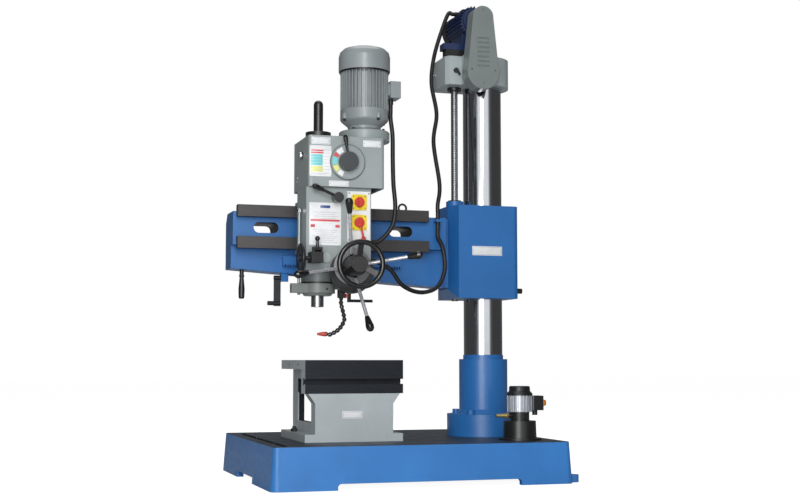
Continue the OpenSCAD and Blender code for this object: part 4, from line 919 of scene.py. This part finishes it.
def data_plate():
    """Large plate on the casing: red heading bar, small blocks and grey rules, no lettering."""
    origin = (-835, CASE_Y, 1028)
    p = Piece("casing_plate", "head", ["plate", "ink_red", "line", "alloy", "ink_blue"])
    p.slab(rounded(128, 168, 3), origin, "front", 0, PLATE_T, 0)
    bars(p, origin, "front", [(0, 14, 118, 8)], 1)
    bars(p, origin, "front", [(-50, -8, 18, 11), (50, -8, 18, 11)], 1)
    bars(p, origin, "front", [(0, 68, 40, 11)], 4)
    bars(p, origin, "front", [(4, 46 - 8 * i, 96 - 22 * (i % 2), 1.2) for i in range(4)], 2)
    bars(p, origin, "front", [(0, -24 - 8 * i, 100 - 16 * (i % 3), 1.2) for i in range(7)], 2)
    corner_rivets(p, origin, 59, 79, 3)
    p.done()


chart_plate()
data_plate()
bare_plate("badge_head", "head", (-858, GEAR_Y, 1354), 76, 28)
bare_plate("badge_motor_side", "head", (-650, GEAR_Y, 1351), 72, 26, "line")
bare_plate("badge_range", "head", (-785, GEAR_Y, 1187), 80, 22, "line")
bare_plate("badge_sleeve", "arm", (-32, -140, 967), 138, 40)
bare_plate("badge_table", "stand", (-677, -296, 276), 84, 29)


def dial_marks():
    """Coloured sectors on the left of the speed dial, a dark grey ring of painted shade along its
    edge, and ticks round the rim.
    """
    x, z = DIAL_CENTRE
    p = Piece("dial_sectors", "head", ["plate", "ink_red", "ink_cyan", "ink_lime", "grey_ink_and_rim_shade"])
    for look, a0, a1 in ((0, 112, 140), (1, 143, 158), (2, 161, 193), (3, 196, 222),
                         (0, 225, 250)):
        p.slab(sector(42, 62, a0, a1), (x, DIAL_Y, z), "front", 0, 0.5, look, 0.1)
    # Dark grey ring round the dial's edge: painted shade of the dial's side face
    p.turned([(68.2, 0.0), (69.5, 0.7), (70.8, 0.0)], (x, DIAL_Y, z), "front", 4, 64, True)
    p.done()
    tick_ring("dial_ticks", 36, 64, (4, 0.7, 0.8), (x, DIAL_Y - 0.3, z), "black_ink_and_shade")


def switch_plates():
    """Yellow plates behind the two rotary switches, with four screws each."""
    p = Piece("switch_plates", "head", ["yellow", "black_ink_and_shade"])
    for z in (1116, 1036):
        origin = (-701, PANEL_Y - 4, z)
        p.holed_plate(62, 62, 4, 8.6, origin, "front", -0.2, 1.2)
        for x, y in ((-24, 24), (24, 24), (-24, -24), (24, -24)):
            p.turned([(2.4, 1.0), (2.4, 1.6), (0.05, 1.9)], on_face(origin, "front", x, y),
                     "front", 1, 12)
    p.done()


dial_marks()
switch_plates()
bolts("panel_screws", "head", [(x, PANEL_Y, z) for x in (-741, -661) for z in (966, 1152)],
      "-y", 3.2, 1.6, "alloy")
bolts("adapter_bolts", "head", [(x, y, 1417) for x, y in around(MOTOR_AXIS, 88, 4, 45)],
      "+z", 6, 6)


def side_plugs():
    """Domed filler plug and two small screws on the gearbox's left side."""
    p = Piece("filler_plug", "head", ["chrome", "dark"])
    origin = (GEAR_LEFT_X, -368, 1309)
    p.turned([(16, 0), (16, 3), (14.5, 4)], origin, "left", 1, 6)
    p.turned([(13, 3.5), (13, 10), (11.5, 13), (7, 15), (0.05, 15.5)], origin, "left", 0, 32)
    for y, z in ((-281, 1229), (-266, 1216)):
        p.turned([(4, 0), (4, 2), (3, 3), (0.05, 3.2)], (GEAR_LEFT_X, y, z), "left", 0, 16)
    p.done()


def feed_ring():
    """Graduated ring on the feed housing, round the star hub, and the clutch boss's marks."""
    x, z = STAR_CENTRE
    p = Piece("feed_ring", "head", ["ring"])
    p.turned([(42, 0.0), (74, 0.0), (74, 5.0), (72, 6.0), (44, 6.0), (42, 5.2)], (x, FEED_Y, z),
             "front", 0, 72, True)
    p.done()
    tick_ring("feed_ring_ticks", 60, 66, (9, 0.7, 0.7), (x, FEED_Y - 6.2, z), "black_ink_and_shade")
    x, z = CLUTCH_BOSS_CENTRE
    tick_ring("clutch_boss_ticks", 24, 18.5, (4, 0.8, 0.8), (x, CLUTCH_BOSS_Y - 0.3, z),
              "grey_ink_and_rim_shade")


def barrel_ring():
    """Dark seal at the foot of the quill barrel."""
    p = Piece("barrel_seal", "head", ["black"])
    p.turned([(64, 797.2), (67.4, 797.2), (67.4, 804), (64, 804)], (*SPINDLE_AXIS, 0), "top",
             0, 64, True)
    p.done()


def quill_fittings():
    """Nut on the depth rod's top end, and the clamp ring's set screw."""
    p = Piece("depth_rod_nut", "quill", ["chrome"])
    p.turned([(6.1, 1078), (9.5, 1078), (9.5, 1090), (8.6, 1091), (6.1, 1091)],
             (*DEPTH_ROD_AXIS, 0), "top", 0, 6, True)
    p.done()
    bolts("ring_set_screw", "quill", [(-817, -421, 775)], "-y", 4.5, 1.5, "black")


def cowl_vents():
    """Three rings of air holes on the crown of the main motor's fan cowl, drawn as black squares
    of painted shade.
    """
    points = [(x, y, 1764.5 - r / 32.5) for r, n in ((26, 10), (42, 16), (58, 22))
              for x, y in around(MOTOR_AXIS, r, n)]
    slats("cowl_air_hole_shade", "head", points, (7, 7, 1.4), "black_ink_and_shade")


def motor_band():
    """Black ring of painted shadow under the fan cowl, and four lugs for the main motor's through
    bolts.
    """
    cowl_shadow = Piece("cowl_painted_shadow", "head", ["black"])
    cowl_shadow.turned([(98.2, 1659), (102, 1659), (102, 1664.9), (98.2, 1664.9)], (*MOTOR_AXIS, 0),
               "top", 0, 64, True)
    cowl_shadow.done()
    lugs = Piece("motor_lugs", "head", ["motor", "dark"])
    for x, y in around(MOTOR_AXIS, 97, 4, 20):
        lugs.turned([(10, 1464), (10, 1482), (7, 1487), (0.05, 1488)], (x, y, 0), "top", 0, 20)
        lugs.turned([(6, 1456), (6, 1464.2)], (x, y, 0), "top", 1, 6)
    lugs.done()


side_plugs()
feed_ring()
barrel_ring()
quill_fittings()
cowl_vents()
motor_band()
slats("cover_louvre_lips", "column_head",
      [(-64, COVER_Y - 0.6, 1770.5 + 20.5 * i) for i in range(7)], (54, 3.0, 3.2), "cover",
      (math.radians(28), 0, 0))
bolts("cover_screws", "column_head",
      [(x, COVER_Y, z) for x, z in ((-64, 2018), (-64, 1694), (-118, 1752), (-10, 1752))],
      "-y", 4, 2.5, "cover")
bolts("pump_foot_screws", "stand", [(x, y, 173) for x, y in around(PUMP_AXIS, 84, 4, 30)],
      "+z", 5, 4)


def cap_fittings():
    """Oil fitting with a short lever on the cap's front, and a grease nipple on its left."""
    p = Piece("cap_fitting", "column_head", ["dark", "chrome"])
    origin = (-153, -84, 1765)
    p.turned([(11, 0), (11, 9), (9, 12), (0.05, 13)], origin, "front", 0, 28)
    p.slab([(-4, 2), (12, -22), (19, -19), (6, 6)], origin, "front", 8, 14, 0, 1.0)
    p.turned([(6, 0), (6, 4), (3.4, 5), (3.4, 10), (2.2, 12), (0.05, 12.5)], (-197, 70, 1771),
             "left", 1, 16)
    p.done()


def screw_collar():
    """Dark bearing collar under the cap, round the lift screw."""
    p = Piece("screw_collar", "column_head", ["black_paint"])
    p.turned([(21, 1688), (29, 1688), (31, 1691), (31, 1703.2), (21, 1703.2)], (*SCREW_AXIS, 0),
             "top", 0, 40, True)
    p.done()


def pump_trim():
    """Brass outlet sleeve with its nut, and the switch's yellow bezel."""
    outlet = (-23, PUMP_AXIS[1], 267)
    p = Piece("pump_outlet", "stand", ["brass"])
    p.turned([(6.05, 0), (9.5, 0), (9.0, 12), (7.0, 40), (6.5, 53), (6.05, 53)], outlet, "left",
             0, 24, True)
    p.turned([(9.6, 0), (14, 0), (14, 9), (9.6, 9)], outlet, "left", 0, 6, True)
    p.done()
    q = Piece("pump_switch_bezel", "stand", ["yellow"])
    q.turned([(13.2, -0.2), (20, -0.2), (20, 6.5), (18.5, 8), (13.2, 8)],
             (125, PUMP_AXIS[1], 318), "right", 0, 36, True)
    q.done()


cap_fittings()
screw_collar()
pump_trim()


# Stage

FLOOR_REACH = 30
FLOOR_TONES = ((0.52, 0.52, 0.52, 1), (0.56, 0.56, 0.56, 1))
FLOOR_GLOW, SHADOW_SHARE = 1.90, 0.5
STUDIO_FRONT, STUDIO_STRENGTH = (-0.25, -0.968, 0.0), 1.25
# The studio's brightness from behind the machine (0) to straight in front of it (1)
STUDIO_STOPS = [(0.0, 0.16), (0.08, 0.10), (0.25, 0.06), (0.78, 0.06), (0.88, 0.14), (0.935, 1.0),
                (1.0, 1.0)]


def lay_floor():
    """A pale floor that the camera sees as white, with a trace of the machine's shadow."""
    mesh = bpy.data.meshes.new("floor")
    mesh.from_pydata([(u * FLOOR_REACH, v * FLOOR_REACH, 0)
                      for u, v in ((-1, -1), (1, -1), (1, 1), (-1, 1))], [], [(0, 1, 2, 3)])
    floor = bpy.data.objects.new("floor", mesh)
    bpy.context.scene.collection.objects.link(floor)
    s = Shade("floor_white")
    s.put(s.bsdf.inputs["Base Color"], s.mix(s.noise(3, 2), *FLOOR_TONES))
    s.bsdf.inputs["Roughness"].default_value = 0.9
    glow = s.add("ShaderNodeEmission", {"Color": (1, 1, 1, 1), "Strength": FLOOR_GLOW})
    faint = s.add("ShaderNodeMixShader", {0: SHADOW_SHARE, 1: glow.outputs[0],
                                          2: s.bsdf.outputs[0]})
    path = s.add("ShaderNodeLightPath")
    pick = s.add("ShaderNodeMixShader", {0: path.outputs["Is Camera Ray"], 1: s.bsdf.outputs[0],
                                         2: faint.outputs[0]})
    s.tree.links.new(pick.outputs[0], s.out.inputs[0])
    mesh.materials.append(s.mat)


def light_studio():
    """A soft studio that is bright in front, with a white background for the camera."""
    world = bpy.data.worlds.new("studio")
    bpy.context.scene.world = world
    world.use_nodes = True
    t = world.node_tree
    t.nodes.clear()
    out = t.nodes.new("ShaderNodeOutputWorld")
    coords = t.nodes.new("ShaderNodeTexCoord")
    facing = t.nodes.new("ShaderNodeVectorMath")
    facing.operation = "DOT_PRODUCT"
    facing.inputs[1].default_value = STUDIO_FRONT
    t.links.new(coords.outputs["Generated"], facing.inputs[0])
    ramp = t.nodes.new("ShaderNodeValToRGB")
    span = t.nodes.new("ShaderNodeMapRange")
    span.inputs["From Min"].default_value = -1
    t.links.new(facing.outputs["Value"], span.inputs["Value"])
    t.links.new(span.outputs["Result"], ramp.inputs[0])
    while len(ramp.color_ramp.elements) < len(STUDIO_STOPS):
        ramp.color_ramp.elements.new(0.5)
    for e, (at, v) in zip(ramp.color_ramp.elements, STUDIO_STOPS):
        e.position = at
        e.color = (v, v, v, 1)
    studio = t.nodes.new("ShaderNodeBackground")
    studio.inputs["Strength"].default_value = STUDIO_STRENGTH
    t.links.new(ramp.outputs[0], studio.inputs["Color"])
    white = t.nodes.new("ShaderNodeBackground")
    white.inputs["Color"].default_value = (1, 1, 1, 1)
    path = t.nodes.new("ShaderNodeLightPath")
    pick = t.nodes.new("ShaderNodeMixShader")
    t.links.new(path.outputs["Is Camera Ray"], pick.inputs[0])
    t.links.new(studio.outputs[0], pick.inputs[1])
    t.links.new(white.outputs[0], pick.inputs[2])
    t.links.new(pick.outputs[0], out.inputs[0])


def lamp(name, place, target, side, power, glossy=True):
    """A square soft lamp of this side and power, aimed at the target."""
    data = bpy.data.lights.new(name, "AREA")
    data.shape = "RECTANGLE"
    data.size, data.size_y = side, side
    data.energy = power
    obj = bpy.data.objects.new(name, data)
    obj.location = place
    aim = Vector(target) - Vector(place)
    obj.rotation_euler = aim.to_track_quat("-Z", "Y").to_euler()
    obj.visible_glossy = glossy
    bpy.context.scene.collection.objects.link(obj)


lay_floor()
light_studio()
lamp("key", (-1.8, -3.3, 0.9), (-0.6, -0.3, 0.7), 1.5, 46)
lamp("fill", (-1.9, -5.0, 2.9), (-0.4, -0.2, 1.0), 1.4, 64)
lamp("top", (-0.4, 0.2, 4.8), (-0.4, 0.0, 0.9), 3.0, 70)
lamp("back", (0.2, 4.6, 3.0), (-0.3, 0.1, 0.9), 2.0, 110, False)
bpy.context.scene.view_settings.view_transform = "Standard"
